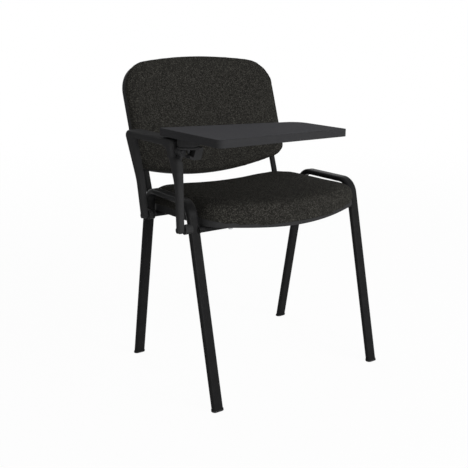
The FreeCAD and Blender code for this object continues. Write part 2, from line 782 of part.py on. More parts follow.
def on_depth(depth):
    """Test for edges that lie at one depth of the bent back."""

    def chosen(edge):
        """True when the whole edge is at the depth."""
        radii = [math.hypot(point.x, point.y + BACK_CURVE) for point in edge_points(edge)]
        return all(abs(radius - BACK_CURVE - depth) < 0.01 for radius in radii)

    return chosen


def back_cushion():
    """Padded front of the back, wrapped over the board's edge."""
    pad = back_layer(0, -BACK_FOAM, BACK_FOAM_WRAP)
    pad = filleted(pad, BACK_FOAM_EDGE, on_depth(-BACK_FOAM))
    return leaned(pad.cut(back_layer(BACK_BOARD_INSET, 0, BACK_FOAM_WRAP)))


def back_board():
    """Bent plywood board, drilled for the back screws."""
    board = leaned(back_layer(BACK_BOARD_INSET, 0, BACK_BOARD))
    for side in SIDES:
        board = board.cut(back_screw_holes(side, BACK_SCREW_D))
    return board


def back_shell():
    """Moulded rear cover over the board and the uprights, open below where they come in."""
    rear = BACK_BOARD + BACK_POCKET + BACK_SHELL_WALL
    outer = back_layer(BACK_SHELL_INSET, BACK_FOAM_WRAP, rear)
    outer = filleted(outer, BACK_SHELL_EDGE, on_depth(rear))
    room = back_layer(BACK_SHELL_INSET + BACK_SHELL_WALL, 0, rear - BACK_SHELL_WALL)
    shell = leaned(outer.cut(room))
    for side in SIDES:
        shell = shell.cut(upright_solid(side, BACK_SLOT_GAP))
    return shell


def back_screws():
    """Screws through the uprights into the board."""
    screws = []
    for side in SIDES:
        for seat in back_screw_seats(side):
            length = UPRIGHT_DEEP + BACK_POCKET / 2 - UPRIGHT_DEEP / 2 + BACK_SCREW_BITE
            shank = cylinder(BACK_SCREW_D, seat, BACK_NORMAL * -1, length)
            head = cylinder(BACK_SCREW_HEAD_D, seat, BACK_NORMAL, BACK_SCREW_HEAD)
            screws.append(shank.fuse(head).removeSplitter())
    return Part.makeCompound(screws)


# Arm

def arm_profile():
    """Side outline of the arm: two posts under one bar, as (y, z, radius) corners."""
    foot = ARM_BOLT_Z - POST_WIDTH / 2
    foot_round = POST_WIDTH / 2 - 0.1
    front = FRONT_POST_Y - POST_WIDTH / 2
    inner = FRONT_POST_Y + POST_WIDTH / 2
    rear_inner = REAR_POST_Y - POST_WIDTH / 2
    rear_outer = REAR_POST_Y + POST_WIDTH / 2
    rear_knee = REAR_POST_Y + REAR_POST_KNEE_SHIFT
    return [
        (front, foot, foot_round),
        (front, LIP_TOP, ARM_CORNER),
        (ARM_FRONT_Y, LIP_TOP, ARM_CORNER),
        (ARM_FRONT_Y, ARM_TOP, ARM_CORNER),
        (ARM_REAR_Y, ARM_TOP, ARM_REAR_CORNER),
        (rear_knee + REAR_POST_KNEE_WIDTH / 2, REAR_POST_KNEE_Z, POST_KNEE_RADIUS),
        (rear_outer, foot, foot_round),
        (rear_inner, foot, foot_round),
        (rear_knee - REAR_POST_KNEE_WIDTH / 2, REAR_POST_KNEE_Z, POST_KNEE_RADIUS),
        (REAR_POST_Y + REAR_POST_TOP_SHIFT, ARM_PAD_BOTTOM, ARM_CORNER),
        (inner + FRONT_POST_TOP_SHIFT, ARM_PAD_BOTTOM, ARM_INNER_CORNER),
        (inner + FRONT_POST_KNEE_SHIFT, FRONT_POST_KNEE_Z, POST_KNEE_RADIUS),
        (inner, foot, foot_round),
    ]


def arm_loop():
    """The arm's side outline with its thickness and rounded edges."""

    def place(across, up):
        """Point on the arm's outer face."""
        return Vector(ARM_OUTER_X, across, up)

    def on_face(edge):
        """True for an edge round either side face."""
        return all(min(abs(p.x - ARM_OUTER_X), abs(p.x - ARM_INNER_X)) < 0.01 for p in edge_points(edge)) and (
            abs(edge_points(edge)[0].x - edge_points(edge)[2].x) < 0.01
        )

    return filleted(rounded_face(arm_profile(), place).extrude(X * ARM_THICK), ARM_EDGE, on_face)


def arm_pad():
    """Inner half of the arm's flat top."""
    start_x = ARM_OUTER_X + ARM_THICK / 2
    width = ARM_PAD_WIDTH - ARM_THICK / 2
    inner_x = start_x + width
    corner = Vector(start_x, ARM_FRONT_Y, ARM_PAD_BOTTOM)
    pad = Part.makeBox(width, ARM_REAR_Y - ARM_FRONT_Y - ARM_REAR_CORNER, ARM_PAD_THICK, corner)

    def upright_corner(edge):
        """True for an upright edge on the inner side."""
        ends = edge_points(edge)
        return abs(ends[0].z - ends[2].z) > 1 and abs(ends[1].x - inner_x) < 0.01

    def inner_edge(edge):
        """True for a level edge that is not on the side joined to the loop."""
        ends = edge_points(edge)
        return abs(ends[0].z - ends[2].z) < 0.01 and max(abs(p.x - start_x) for p in ends) > 1

    return filleted(filleted(pad, ARM_REAR_CORNER, upright_corner), ARM_EDGE, inner_edge)


def hinge_block():
    """Thick front corner under the pad that holds the hinge pin."""
    inner_x = HINGE_X + HINGE_BLOCK_REACH
    outer_x = ARM_OUTER_X + ARM_EDGE
    low = HINGE_Z - HINGE_BLOCK_BELOW
    high = ARM_PAD_BOTTOM + ARM_PAD_THICK / 2
    depth = HINGE_PIN_DEPTH + HINGE_WASHER_THICK + ARM_EDGE
    block = Part.makeBox(inner_x - outer_x, depth, high - low, Vector(outer_x, ARM_FRONT_Y, low))

    def lower_inner(edge):
        """True for the lower edges and the upright edges of the inner side."""
        ends = edge_points(edge)
        level = abs(ends[0].z - low) < 0.01 and abs(ends[2].z - low) < 0.01
        return min(abs(p.x - inner_x) for p in ends) < 0.01 and (level or abs(ends[1].x - inner_x) < 0.01) and (
            max(p.z for p in ends) < high - 0.01 or abs(ends[0].z - ends[2].z) > 1
        ) and abs(ends[0].x - ends[2].x) < 0.01

    return filleted(block, ARM_EDGE / 2, lower_inner)


def lip_cutter():
    """Wedge that slopes the top of the front post down from its outer lip."""
    lip_x = ARM_OUTER_X + LIP_WIDTH
    inner_x = ARM_INNER_X + OVERCUT
    drop = LIP_DROP * (inner_x - lip_x) / (ARM_INNER_X - lip_x)
    front = FRONT_POST_Y - POST_WIDTH
    points = [
        Vector(lip_x, front, LIP_TOP),
        Vector(inner_x, front, LIP_TOP - drop),
        Vector(inner_x, front, LIP_TOP + OVERCUT),
        Vector(lip_x, front, LIP_TOP + OVERCUT),
    ]
    return prism(points, Y * (ARM_FRONT_Y - front))


def arm_bolt_ends():
    """Places of the two arm bolts on the arm's outer face."""
    return {
        "front": Vector(ARM_OUTER_X, FRONT_POST_Y, ARM_BOLT_Z),
        "rear": Vector(ARM_OUTER_X, REAR_POST_Y, ARM_BOLT_Z),
    }


def tablet_arm():
    """Moulded arm: loop, pad and hinge corner in one piece, bored for its fixings."""
    arm = arm_loop().cut(lip_cutter())
    arm = arm.fuse([arm_pad(), hinge_block()]).removeSplitter()
    well = ARM_PLUG_THICK + ARM_HEAD_THICK
    for spot in arm_bolt_ends().values():
        arm = arm.cut(cylinder(ARM_BOLT_D + 2 * HOLE_CLEAR, spot - X, X, ARM_THICK + 2))
        arm = arm.cut(cylinder(ARM_HEAD_D + 2 * ARM_COUNTERBORE_GAP, spot - X, X, well + 1))
    pin_seat = Vector(HINGE_X, ARM_FRONT_Y - 1, HINGE_Z)
    return arm.cut(cylinder(HINGE_PIN_D, pin_seat, Y, HINGE_PIN_DEPTH + 1))


ARM_BRACKET_X = -FRAME_WIDTH / 2 - ARM_BRACKET_THICK + ARM_BRACKET_BITE


def arm_bracket_rear():
    """Flat steel tab from the rear leg forward to the arm's rear bolt."""
    rear = leg_y("rear", ARM_BOLT_Z)
    radius = ARM_SPACER_D / 2
    bar = Part.makeBox(
        ARM_BRACKET_THICK, rear - REAR_POST_Y, ARM_SPACER_D, Vector(ARM_BRACKET_X, REAR_POST_Y, ARM_BOLT_Z - radius)
    )
    spot = Vector(ARM_BRACKET_X, REAR_POST_Y, ARM_BOLT_Z)
    tab = bar.fuse(cylinder(ARM_SPACER_D, spot, X, ARM_BRACKET_THICK)).removeSplitter()
    tab = tab.cut(cylinder(ARM_BOLT_D + 2 * HOLE_CLEAR, spot - X, X, ARM_BRACKET_THICK + 2))
    return tab.cut(frame_solid("right"))


def arm_spacer_front():
    """Sleeve between the arm and the front leg, shaped to the leg."""
    start = Vector(ARM_INNER_X, FRONT_POST_Y, ARM_BOLT_Z)
    length = TUBE_DEEP / 2 - FRAME_WIDTH / 2 - ARM_INNER_X
    sleeve = ring(ARM_SPACER_D, ARM_BOLT_D + 2 * HOLE_CLEAR, start, X, length)
    return sleeve.cut(frame_solid("right"))


def arm_spacer_rear():
    """Sleeve between the arm and its rear bracket."""
    start = Vector(ARM_INNER_X, REAR_POST_Y, ARM_BOLT_Z)
    return ring(ARM_SPACER_D, ARM_BOLT_D + 2 * HOLE_CLEAR, start, X, ARM_BRACKET_X - ARM_INNER_X)


INSERT_SINK = TUBE_DEEP / 2 - math.sqrt((TUBE_DEEP / 2) ** 2 - (ARM_INSERT_D / 2) ** 2)


def arm_insert_front():
    """Threaded insert in the outer side of the front leg."""
    start = Vector(-FRAME_WIDTH / 2 + INSERT_SINK, FRONT_POST_Y, ARM_BOLT_Z)
    return ring(ARM_INSERT_D, ARM_BOLT_D + 2 * RUN_CLEAR, start, X, ARM_INSERT_LENGTH)


def arm_nut_rear():
    """Nut behind the rear bracket."""
    start = Vector(ARM_BRACKET_X + ARM_BRACKET_THICK, REAR_POST_Y, ARM_BOLT_Z)
    bore = cylinder(ARM_BOLT_D + 2 * RUN_CLEAR, start - X, X, ARM_NUT_THICK + 2)
    return hexagon(ARM_NUT_FLATS, start, X, ARM_NUT_THICK).cut(bore)


def arm_bolts():
    """Bolts from the outside of the arm into the insert and the nut."""
    tips = {
        "front": -FRAME_WIDTH / 2 + INSERT_SINK + ARM_INSERT_LENGTH,
        "rear": ARM_BRACKET_X + ARM_BRACKET_THICK + ARM_NUT_THICK,
    }
    bolts = []
    for end, spot in arm_bolt_ends().items():
        seat = spot + X * ARM_PLUG_THICK
        head = cylinder(ARM_HEAD_D, seat, X, ARM_HEAD_THICK)
        shank = cylinder(ARM_BOLT_D, seat, X, tips[end] - seat.x)
        bolts.append(head.fuse(shank).removeSplitter())
    return Part.makeCompound(bolts)


def arm_bolt_plugs():
    """Flush plugs over the arm bolts' heads."""
    return Part.makeCompound([
        cylinder(ARM_HEAD_D + 2 * ARM_COUNTERBORE_GAP, spot, X, ARM_PLUG_THICK)
        for spot in arm_bolt_ends().values()
    ])


# Hinge

def hinge_spot(y):
    """Point on the hinge line."""
    return Vector(HINGE_X, y, HINGE_Z)


PIN_FRONT_Y = BARREL_FRONT_Y - SLIDE_CLEAR


def hinge_pin():
    """Steel pin fixed in the arm's front corner, tapped at its free end."""
    pin = cylinder(HINGE_PIN_D, hinge_spot(PIN_FRONT_Y), Y, ARM_FRONT_Y + HINGE_PIN_DEPTH - PIN_FRONT_Y)
    return pin.cut(cylinder(HINGE_SCREW_D + 2 * RUN_CLEAR, hinge_spot(PIN_FRONT_Y - 1), Y, HINGE_SCREW_LENGTH + 2))


def hinge_thrust_washer():
    """Washer between the arm's corner and the bracket's barrel."""
    hole = HINGE_PIN_D + 2 * RUN_CLEAR
    return ring(HINGE_WASHER_D, hole, hinge_spot(ARM_FRONT_Y - HINGE_WASHER_THICK), Y, HINGE_WASHER_THICK)


def hinge_end_washer():
    """Washer that keeps the barrel on the pin."""
    hole = HINGE_SCREW_D + 2 * HOLE_CLEAR
    return ring(HINGE_WASHER_D, hole, hinge_spot(PIN_FRONT_Y - HINGE_WASHER_THICK), Y, HINGE_WASHER_THICK)


def hinge_end_screw():
    """Button-head screw in the end of the pin."""
    seat = PIN_FRONT_Y - HINGE_WASHER_THICK
    head = cylinder(HINGE_SCREW_HEAD_D, hinge_spot(seat - HINGE_SCREW_HEAD), Y, HINGE_SCREW_HEAD)
    front = seat - HINGE_SCREW_HEAD / 2
    head = filleted(head, HINGE_SCREW_HEAD * 0.6, lambda edge: edge_points(edge)[0].y < front)
    shank = cylinder(HINGE_SCREW_D, hinge_spot(seat), Y, HINGE_SCREW_LENGTH)
    return head.fuse(shank).removeSplitter()


BUSH_D = HINGE_PIN_D + 2 * RUN_CLEAR + 2 * BUSH_WALL


def hinge_bush():
    """Nylon bush in the bracket's barrel."""
    return ring(BUSH_D, HINGE_PIN_D + 2 * RUN_CLEAR, hinge_spot(BARREL_FRONT_Y), Y, BARREL_LENGTH)


def bracket_plate():
    """Round plate under the swivel disc."""
    return cylinder(SWIVEL_D, Vector(SWIVEL_X, SWIVEL_Y, PLATE_TOP - PLATE_THICK), Z, PLATE_THICK)


def bracket_web():
    """Raked web up to the far side of the plate, with a floor that joins its foot to the barrel."""
    under = PLATE_TOP - PLATE_THICK / 2
    front = SWIVEL_Y - WEB_DEPTH / 2
    low = HINGE_Z - BARREL_D / 2 + 1
    clear_x = HINGE_X + HINGE_WASHER_D / 2 + WEB_WASHER_GAP
    fall = (WEB_FOOT_Z - low) * (clear_x - HINGE_X) / (WEB_FOOT_X - HINGE_X)
    points = [
        (clear_x, low + fall),
        (WEB_FOOT_X, WEB_FOOT_Z),
        (WEB_FOOT_X + WEB_THICK, WEB_FOOT_Z),
        (WEB_TOP_X + WEB_THICK, under),
        (WEB_TOP_X, under),
        (WEB_FOOT_X, WEB_FOOT_Z + WEB_FLOOR),
        (clear_x, low + fall + WEB_FLOOR),
    ]
    web = prism([Vector(x, front, z) for x, z in points], Y * WEB_DEPTH)
    floor = [
        (HINGE_X, low),
        (clear_x, low + fall),
        (clear_x, low + fall + WEB_FLOOR),
        (HINGE_X, low + WEB_FLOOR),
    ]
    depth = front + WEB_DEPTH - BARREL_FRONT_Y
    return web.fuse(prism([Vector(x, BARREL_FRONT_Y, z) for x, z in floor], Y * depth))


def bracket_heel():
    """Lug under the barrel that rests on the sloped top of the front post and holds the tablet level."""
    lip_x = ARM_OUTER_X + LIP_WIDTH
    slope = unit(Vector(ARM_INNER_X - lip_x, 0, -LIP_DROP))
    square = Vector(-slope.z, 0, slope.x)
    start = Vector(lip_x, 0, LIP_TOP) + square * STOP_CLEAR + slope * HEEL_START
    end = start + slope * HEEL_LENGTH
    points = [
        Vector(HINGE_X, 0, HINGE_Z),
        start,
        end,
        Vector(HINGE_X + HEEL_TOP_REACH, 0, HINGE_Z),
    ]
    return prism([point + Y * BARREL_FRONT_Y for point in points], Y * HEEL_DEPTH)


def tablet_bracket():
    """Cast bracket: barrel, plate, web and stop heel in one piece."""
    barrel = cylinder(BARREL_D, hinge_spot(BARREL_FRONT_Y), Y, BARREL_LENGTH)
    solid = barrel.fuse([bracket_plate(), bracket_web(), bracket_heel()]).removeSplitter()
    solid = solid.cut(cylinder(BUSH_D, hinge_spot(BARREL_FRONT_Y - 1), Y, BARREL_LENGTH + 2))
    nut_room = Vector(SWIVEL_X, SWIVEL_Y, PLATE_TOP - PLATE_THICK)
    return solid.cut(cylinder(SWIVEL_BOLT_D + 2 * RUN_CLEAR, nut_room - Z, Z, PLATE_THICK + 2))


# Swivel

def swivel_spot(z):
    """Point on the swivel line."""
    return Vector(SWIVEL_X, SWIVEL_Y, z)


WELL_FLOOR_Z = SWIVEL_BOTTOM + SWIVEL_WELL_FLOOR
SWIVEL_HEAD_SEAT = WELL_FLOOR_Z + SLIDE_CLEAR + SPRING_WASHER_THICK


def swivel_washer():
    """Friction washer on the bracket's plate."""
    return ring(FRICTION_WASHER_D, SWIVEL_BOLT_D + 2 * RUN_CLEAR, swivel_spot(PLATE_TOP), Z, FRICTION_WASHER_THICK)


def swivel_spring_washer():
    """Spring washer under the swivel bolt's head."""
    hole = SWIVEL_BOLT_D + 2 * RUN_CLEAR
    return ring(SPRING_WASHER_D, hole, swivel_spot(WELL_FLOOR_Z + SLIDE_CLEAR), Z, SPRING_WASHER_THICK)


def swivel_bolt():
    """Bolt down through the disc and the plate."""
    tip = PLATE_TOP - PLATE_THICK - SWIVEL_NUT - SWIVEL_BOLT_TIP
    head = cylinder(SWIVEL_HEAD_D, swivel_spot(SWIVEL_HEAD_SEAT), Z, SWIVEL_HEAD)
    return head.fuse(cylinder(SWIVEL_BOLT_D, swivel_spot(tip), Z, SWIVEL_HEAD_SEAT - tip)).removeSplitter()


def swivel_nut():
    """Lock nut under the plate."""
    seat = swivel_spot(PLATE_TOP - PLATE_THICK)
    nut = hexagon(SWIVEL_NUT_FLATS, seat, Z * -1, SWIVEL_NUT)
    return nut.cut(cylinder(SWIVEL_BOLT_D + 2 * RUN_CLEAR, seat + Z, Z * -1, SWIVEL_NUT + 2))


def tablet_screw_spots():
    """Places of the tablet screws on the underside of the disc."""
    spots = []
    for index in range(TABLET_SCREW_COUNT):
        turn = 2 * math.pi * (index + 0.5) / TABLET_SCREW_COUNT
        offset = Vector(math.cos(turn), math.sin(turn), 0) * (TABLET_SCREW_CIRCLE / 2)
        spots.append(swivel_spot(SWIVEL_BOTTOM) + offset)
    return spots


def swivel_disc():
    """Round block screwed to the tablet, turning on the swivel bolt."""
    disc = cylinder(SWIVEL_D, swivel_spot(SWIVEL_BOTTOM), Z, TABLET_BOTTOM - SWIVEL_BOTTOM)
    disc = filleted(disc, SWIVEL_EDGE, lambda edge: edge_points(edge)[1].z < SWIVEL_BOTTOM + 0.01)
    disc = disc.cut(cylinder(SWIVEL_BOLT_D + 2 * RUN_CLEAR, swivel_spot(SWIVEL_BOTTOM - 1), Z, OVERCUT))
    disc = disc.cut(cylinder(SWIVEL_WELL_D, swivel_spot(WELL_FLOOR_Z), Z, OVERCUT))
    well = TABLET_SCREW_RECESS + TABLET_SCREW_HEAD
    for spot in tablet_screw_spots():
        disc = disc.cut(cylinder(TABLET_SCREW_HEAD_D + 2 * HOLE_CLEAR, spot - Z, Z, well + 1))
        disc = disc.cut(cylinder(TABLET_SCREW_D + 2 * HOLE_CLEAR, spot, Z, OVERCUT))
    return disc


# Tablet

def tablet_face(inset):
    """Plan outline of the tablet on its underside, shrunk by inset."""
    slant = math.radians(TABLET_REAR_SLANT)
    left = TABLET_LEFT_X + inset
    right = TABLET_RIGHT_X - inset
    front = TABLET_FRONT_Y + inset
    rear_start = TABLET_REAR_Y - inset / math.cos(slant)
    rear_left = rear_start - (left - TABLET_LEFT_X) * math.tan(slant)
    rear_right = rear_start - (right - TABLET_LEFT_X) * math.tan(slant)
    corners = [
        (left, front, TABLET_FRONT_LEFT_CORNER - inset),
        (right, front, TABLET_FRONT_RIGHT_CORNER - inset),
        (right, rear_right, TABLET_REAR_RIGHT_CORNER - inset),
        (left, rear_left, TABLET_REAR_LEFT_CORNER - inset),
    ]
    return rounded_face(corners, lambda across, along: Vector(across, along, TABLET_BOTTOM))


def tablet_board():
    """Laminated board, bored for its screws."""
    board = tablet_face(EDGE_BAND).extrude(Z * TABLET_THICK)
    for spot in tablet_screw_spots():
        board = board.cut(cylinder(TABLET_SCREW_D, Vector(spot.x, spot.y, TABLET_BOTTOM), Z, TABLET_SCREW_BITE))
    return board


def tablet_edge_band():
    """Plastic band round the board, eased along its outer edges."""
    outer = tablet_face(0).extrude(Z * TABLET_THICK)
    outer = filleted(outer, EDGE_BAND_ROUND, lambda edge: abs(edge_points(edge)[0].z - edge_points(edge)[2].z) < 0.01)
    return outer.cut(tablet_face(EDGE_BAND).extrude(Z * TABLET_THICK))


def tablet_screws():
    """Screws up through the disc into the board."""
    screws = []
    for spot in tablet_screw_spots():
        seat = spot + Z * TABLET_SCREW_RECESS
        length = TABLET_BOTTOM + TABLET_SCREW_BITE - seat.z
        shank = cylinder(TABLET_SCREW_D, seat, Z, length)
        head = cylinder(TABLET_SCREW_HEAD_D, seat, Z, TABLET_SCREW_HEAD)
        screws.append(shank.fuse(head).removeSplitter())
    return Part.makeCompound(screws)


def drilled_frame():
    """Right side frame with the hole for the arm's threaded insert."""
    start = Vector(-FRAME_WIDTH / 2 - 1, FRONT_POST_Y, ARM_BOLT_Z)
    return side_frame("right").cut(cylinder(ARM_INSERT_D, start, X, TUBE_WIDE / 2))


def build():
    """Every node of the chair by name, about the frame's mid-plane."""
    nodes = {"side_frame_right": drilled_frame(), "side_frame_left": side_frame("left")}
    nodes["front_crossbar"] = crossbar(FRONT_BAR_Y, FRONT_BAR_Z)
    nodes["rear_crossbar"] = crossbar(REAR_BAR_Y, REAR_BAR_Z)
    for side in SIDES:
        nodes[f"back_upright_{side}"] = back_upright(side)
        for end in ("front", "rear"):
            nodes[f"foot_cap_{end}_{side}"] = foot_cap(side, end)
    makers = [
        seat_shell, seat_board, seat_cushion, seat_tee_nuts, seat_bolts, seat_washers,
        back_shell, back_board, back_cushion, back_screws,
        tablet_arm, arm_bracket_rear, arm_spacer_front, arm_spacer_rear,
        arm_insert_front, arm_nut_rear, arm_bolts, arm_bolt_plugs,
        hinge_pin, hinge_thrust_washer, hinge_end_washer, hinge_end_screw,
        hinge_bush, tablet_bracket, swivel_washer, swivel_spring_washer, swivel_bolt, swivel_nut,
        swivel_disc, tablet_board, tablet_edge_band, tablet_screws,
    ]
    for maker in makers:
        nodes[maker.__name__] = maker()
    return nodes


def origin_shift(nodes):
    """Move that brings the bottom centre of the chair's box to the origin."""
    boxes = [shape.optimalBoundingBox(False) for shape in nodes.values()]
    middle_x = (min(box.XMin for box in boxes) + max(box.XMax for box in boxes)) / 2
    middle_y = (min(box.YMin for box in boxes) + max(box.YMax for box in boxes)) / 2
    return Vector(-middle_x, -middle_y, 0)


NODES = build()
SHIFT = origin_shift(NODES)
os.makedirs("parts", exist_ok=True)
for name, shape in NODES.items():
    shape.translate(SHIFT)
    shape.exportStep(f"parts/{name}.step")
    print(f"{name}: {len(shape.Solids)} solid, {shape.Volume / 1000:.2f} cm3, valid {shape.isValid()}")
print(f"shift {SHIFT.x:.3f} {SHIFT.y:.3f} {SHIFT.z:.3f}")
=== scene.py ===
"""Looks of the tablet arm chair: pads, finishes, welds and a plain studio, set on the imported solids."""

import json
import logging
import math
from dataclasses import dataclass, field
from enum import Enum

import bmesh
import bpy
import numpy as np
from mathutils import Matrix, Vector
from mathutils.bvhtree import BVHTree

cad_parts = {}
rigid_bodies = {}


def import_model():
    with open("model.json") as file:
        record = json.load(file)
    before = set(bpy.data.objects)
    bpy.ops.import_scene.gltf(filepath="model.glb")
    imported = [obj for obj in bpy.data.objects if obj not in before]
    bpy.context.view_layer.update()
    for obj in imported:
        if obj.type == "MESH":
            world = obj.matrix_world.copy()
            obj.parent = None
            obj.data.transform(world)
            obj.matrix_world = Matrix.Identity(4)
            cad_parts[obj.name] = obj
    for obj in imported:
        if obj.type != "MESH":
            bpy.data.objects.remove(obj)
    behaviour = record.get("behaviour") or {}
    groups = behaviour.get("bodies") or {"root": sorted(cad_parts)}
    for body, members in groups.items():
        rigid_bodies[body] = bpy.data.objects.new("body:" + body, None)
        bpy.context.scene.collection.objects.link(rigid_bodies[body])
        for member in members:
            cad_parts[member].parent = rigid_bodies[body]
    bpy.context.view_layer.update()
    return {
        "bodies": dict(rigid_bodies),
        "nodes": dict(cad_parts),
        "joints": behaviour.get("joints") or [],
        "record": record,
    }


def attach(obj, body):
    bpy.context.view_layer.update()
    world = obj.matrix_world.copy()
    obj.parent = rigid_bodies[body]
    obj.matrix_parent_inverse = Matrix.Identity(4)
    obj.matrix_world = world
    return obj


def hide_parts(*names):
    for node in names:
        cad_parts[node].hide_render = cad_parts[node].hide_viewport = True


LOG = logging.getLogger("tablet_arm_chair")
Colour = tuple[float, float, float]
Place = tuple[float, float, float]
WHITE = (1.0, 1.0, 1.0, 1.0)
MERGE_DISTANCE = 1e-5
LEAST_WEIGHT = 0.001
LEAST_LENGTH = 1e-9
MM_PER_METRE = 1000.0


class Body(str, Enum):
    """The body that the pads and the welds move with."""

    FRAME = "chair_frame"


class Slot(str, Enum):
    """Material slots of the record."""

    FRAME_PAINT = "frame_paint"
    BLACK_PLASTIC = "black_plastic"
    FABRIC = "fabric"
    PLYWOOD = "plywood"
    LAMINATE = "laminate"
    EDGE_BAND = "edge_band"
    STEEL = "steel"
    BLACK_STEEL = "black_steel"
    NYLON = "nylon"


# Shader maths


class Wire:
    """An output socket of a node graph, with Python operators for its maths."""

    def __init__(self, graph: "ShaderGraph", socket: bpy.types.NodeSocket) -> None:
        """Holds a socket and the graph that it belongs to."""
        self.graph = graph
        self.socket = socket

    def maths(self, operation: str, first: "Wire | float", second: "Wire | float" = 0.0) -> "Wire":
        """Adds one Math node.

        Args:
            operation: the Math node's operation.
            first: its first value.
            second: its second value.

        Returns:
            The node's result.
        """
        return self.graph.add("ShaderNodeMath", {"operation": operation}, {0: first, 1: second})

    def __add__(self, other: "Wire | float") -> "Wire":
        """Sum."""
        return self.maths("ADD", self, other)

    def __radd__(self, other: float) -> "Wire":
        """Sum with a number on the left."""
        return self.maths("ADD", other, self)

    def __sub__(self, other: "Wire | float") -> "Wire":
        """Difference."""
        return self.maths("SUBTRACT", self, other)

    def __rsub__(self, other: float) -> "Wire":
        """Difference from a number on the left."""
        return self.maths("SUBTRACT", other, self)

    def __mul__(self, other: "Wire | float") -> "Wire":
        """Product."""
        return self.maths("MULTIPLY", self, other)

    def __rmul__(self, other: float) -> "Wire":
        """Product with a number on the left."""
        return self.maths("MULTIPLY", other, self)

    def __gt__(self, other: "Wire | float") -> "Wire":
        """One where this is more than the other, and zero elsewhere."""
        return self.maths("GREATER_THAN", self, other)

    def __abs__(self) -> "Wire":
        """Size without its sign."""
        return self.maths("ABSOLUTE", self)

    def sine(self) -> "Wire":
        """Sine of the value."""
        return self.maths("SINE", self)

    def between(self, low: float, high: float) -> "Wire":
        """Zero at low, one at high, and smooth between them.

        Args:
            low: where the step starts.
            high: where it ends.

        Returns:
            The stepped value.
        """
        settings = {"interpolation_type": "SMOOTHSTEP"}
        values = {"Value": self, "From Min": low, "From Max": high}
        return self.graph.add("ShaderNodeMapRange", settings, values)


class ShaderGraph:
    """Builds the nodes of a material or of the world."""

    MIX_SHARE = 0
    MIX_FIRST = 6
    MIX_SECOND = 7
    MIX_RESULT = 2
    SHADER_NAMES = {"ior_level": "Specular IOR Level"}

    def __init__(self, tree: bpy.types.NodeTree) -> None:
        """Starts from an empty tree."""
        self.tree = tree
        tree.nodes.clear()

    @classmethod
    def for_material(cls, name: str) -> tuple["ShaderGraph", bpy.types.Material]:
        """Makes a material with an empty graph.

        Args:
            name: the material's name.

        Returns:
            The graph and its material.
        """
        material = bpy.data.materials.new(name)
        material.use_nodes = True
        return cls(material.node_tree), material

    def add(
        self,
        kind: str,
        settings: dict | None = None,
        values: dict | None = None,
        output: int | str = 0,
    ) -> Wire:
        """Adds one node.

        Args:
            kind: the node's type.
            settings: properties that are set before its sockets.
            values: numbers, colours or wires for its input sockets, by name or place.
            output: the output socket that is wanted.

        Returns:
            That output, or the first input of a node that has no output.
        """
        node = self.tree.nodes.new(kind)
        for name, value in (settings or {}).items():
            setattr(node, name, value)
        for key, value in (values or {}).items():
            if isinstance(value, Wire):
                self.tree.links.new(value.socket, node.inputs[key])
            else:
                node.inputs[key].default_value = value
        return Wire(self, node.outputs[output] if len(node.outputs) else node.inputs[0])

    def object_point(self) -> Wire:
        """The place on the object as one vector, in metres."""
        return self.add("ShaderNodeTexCoord", output="Object")

    def place(self) -> tuple[Wire, ...]:
        """The place on the object as its three parts, in metres."""
        split = self.add("ShaderNodeSeparateXYZ", values={0: self.object_point()})
        return tuple(Wire(self, part) for part in split.socket.node.outputs)

    def joined(self, x: Wire, y: Wire, z: Wire) -> Wire:
        """A vector from its three parts."""
        return self.add("ShaderNodeCombineXYZ", values={0: x, 1: y, 2: z})

    def noise(self, point: Wire, scale: float, detail: float) -> Wire:
        """Cloudy noise from 0 to 1.

        Args:
            point: where it is read.
            scale: its lumps to the metre.
            detail: its finer layers.

        Returns:
            The noise.
        """
        return self.add("ShaderNodeTexNoise", values={"Vector": point, "Scale": scale, "Detail": detail})

    def cells(self, point: Wire, scale: float, output: str = "Distance") -> Wire:
        """Cell pattern.

        Args:
            point: where it is read.
            scale: its cells to the metre.
            output: what is wanted of it.

        Returns:
            That output.
        """
        return self.add("ShaderNodeTexVoronoi", values={"Vector": point, "Scale": scale}, output=output)

    def mixed(self, share: Wire | float, first: Wire | Colour, second: Wire | Colour) -> Wire:
        """Mix of two colours.

        Args:
            share: how much of the second shows.
            first: the first colour.
            second: the second colour.

        Returns:
            The mixed colour.
        """
        colours = [value if isinstance(value, Wire) else (*value, 1.0) for value in (first, second)]
        values = {self.MIX_SHARE: share, self.MIX_FIRST: colours[0], self.MIX_SECOND: colours[1]}
        return self.add("ShaderNodeMix", {"data_type": "RGBA"}, values, self.MIX_RESULT)

    def bump(self, height: Wire, depth: float, strength: float) -> Wire:
        """Surface direction from a height.

        Args:
            height: height from 0 to 1.
            depth: what a height of 1 measures, in metres.
            strength: how far it counts.

        Returns:
            The surface direction.
        """
        values = {"Height": height, "Distance": depth, "Strength": strength}
        return self.add("ShaderNodeBump", values=values)

    def surface(self, **sockets: Wire | float) -> None:
        """Closes the graph with the main shader.

        Args:
            **sockets: values of its sockets, with _ for a space.
        """
        values = {}
        for name, value in sockets.items():
            values[self.SHADER_NAMES.get(name, name.replace("_", " ").title())] = value
        shader = self.add("ShaderNodeBsdfPrincipled", values=values)
        self.add("ShaderNodeOutputMaterial", values={"Surface": shader})


# Finishes


@dataclass(frozen=True)
class Cloud:
    """Cloudy noise of a finish: its lumps to the metre and its finer layers."""

    scale: float
    detail: float

    def on(self, graph: ShaderGraph, point: Wire) -> Wire:
        """The noise at a point, from 0 to 1."""
        return graph.noise(point, self.scale, self.detail)


@dataclass(frozen=True)
class Step:
    """Where a smooth step of a finish starts and ends."""

    low: float
    high: float

    def of(self, value: Wire) -> Wire:
        """Zero before the step and one past it."""
        return value.between(self.low, self.high)


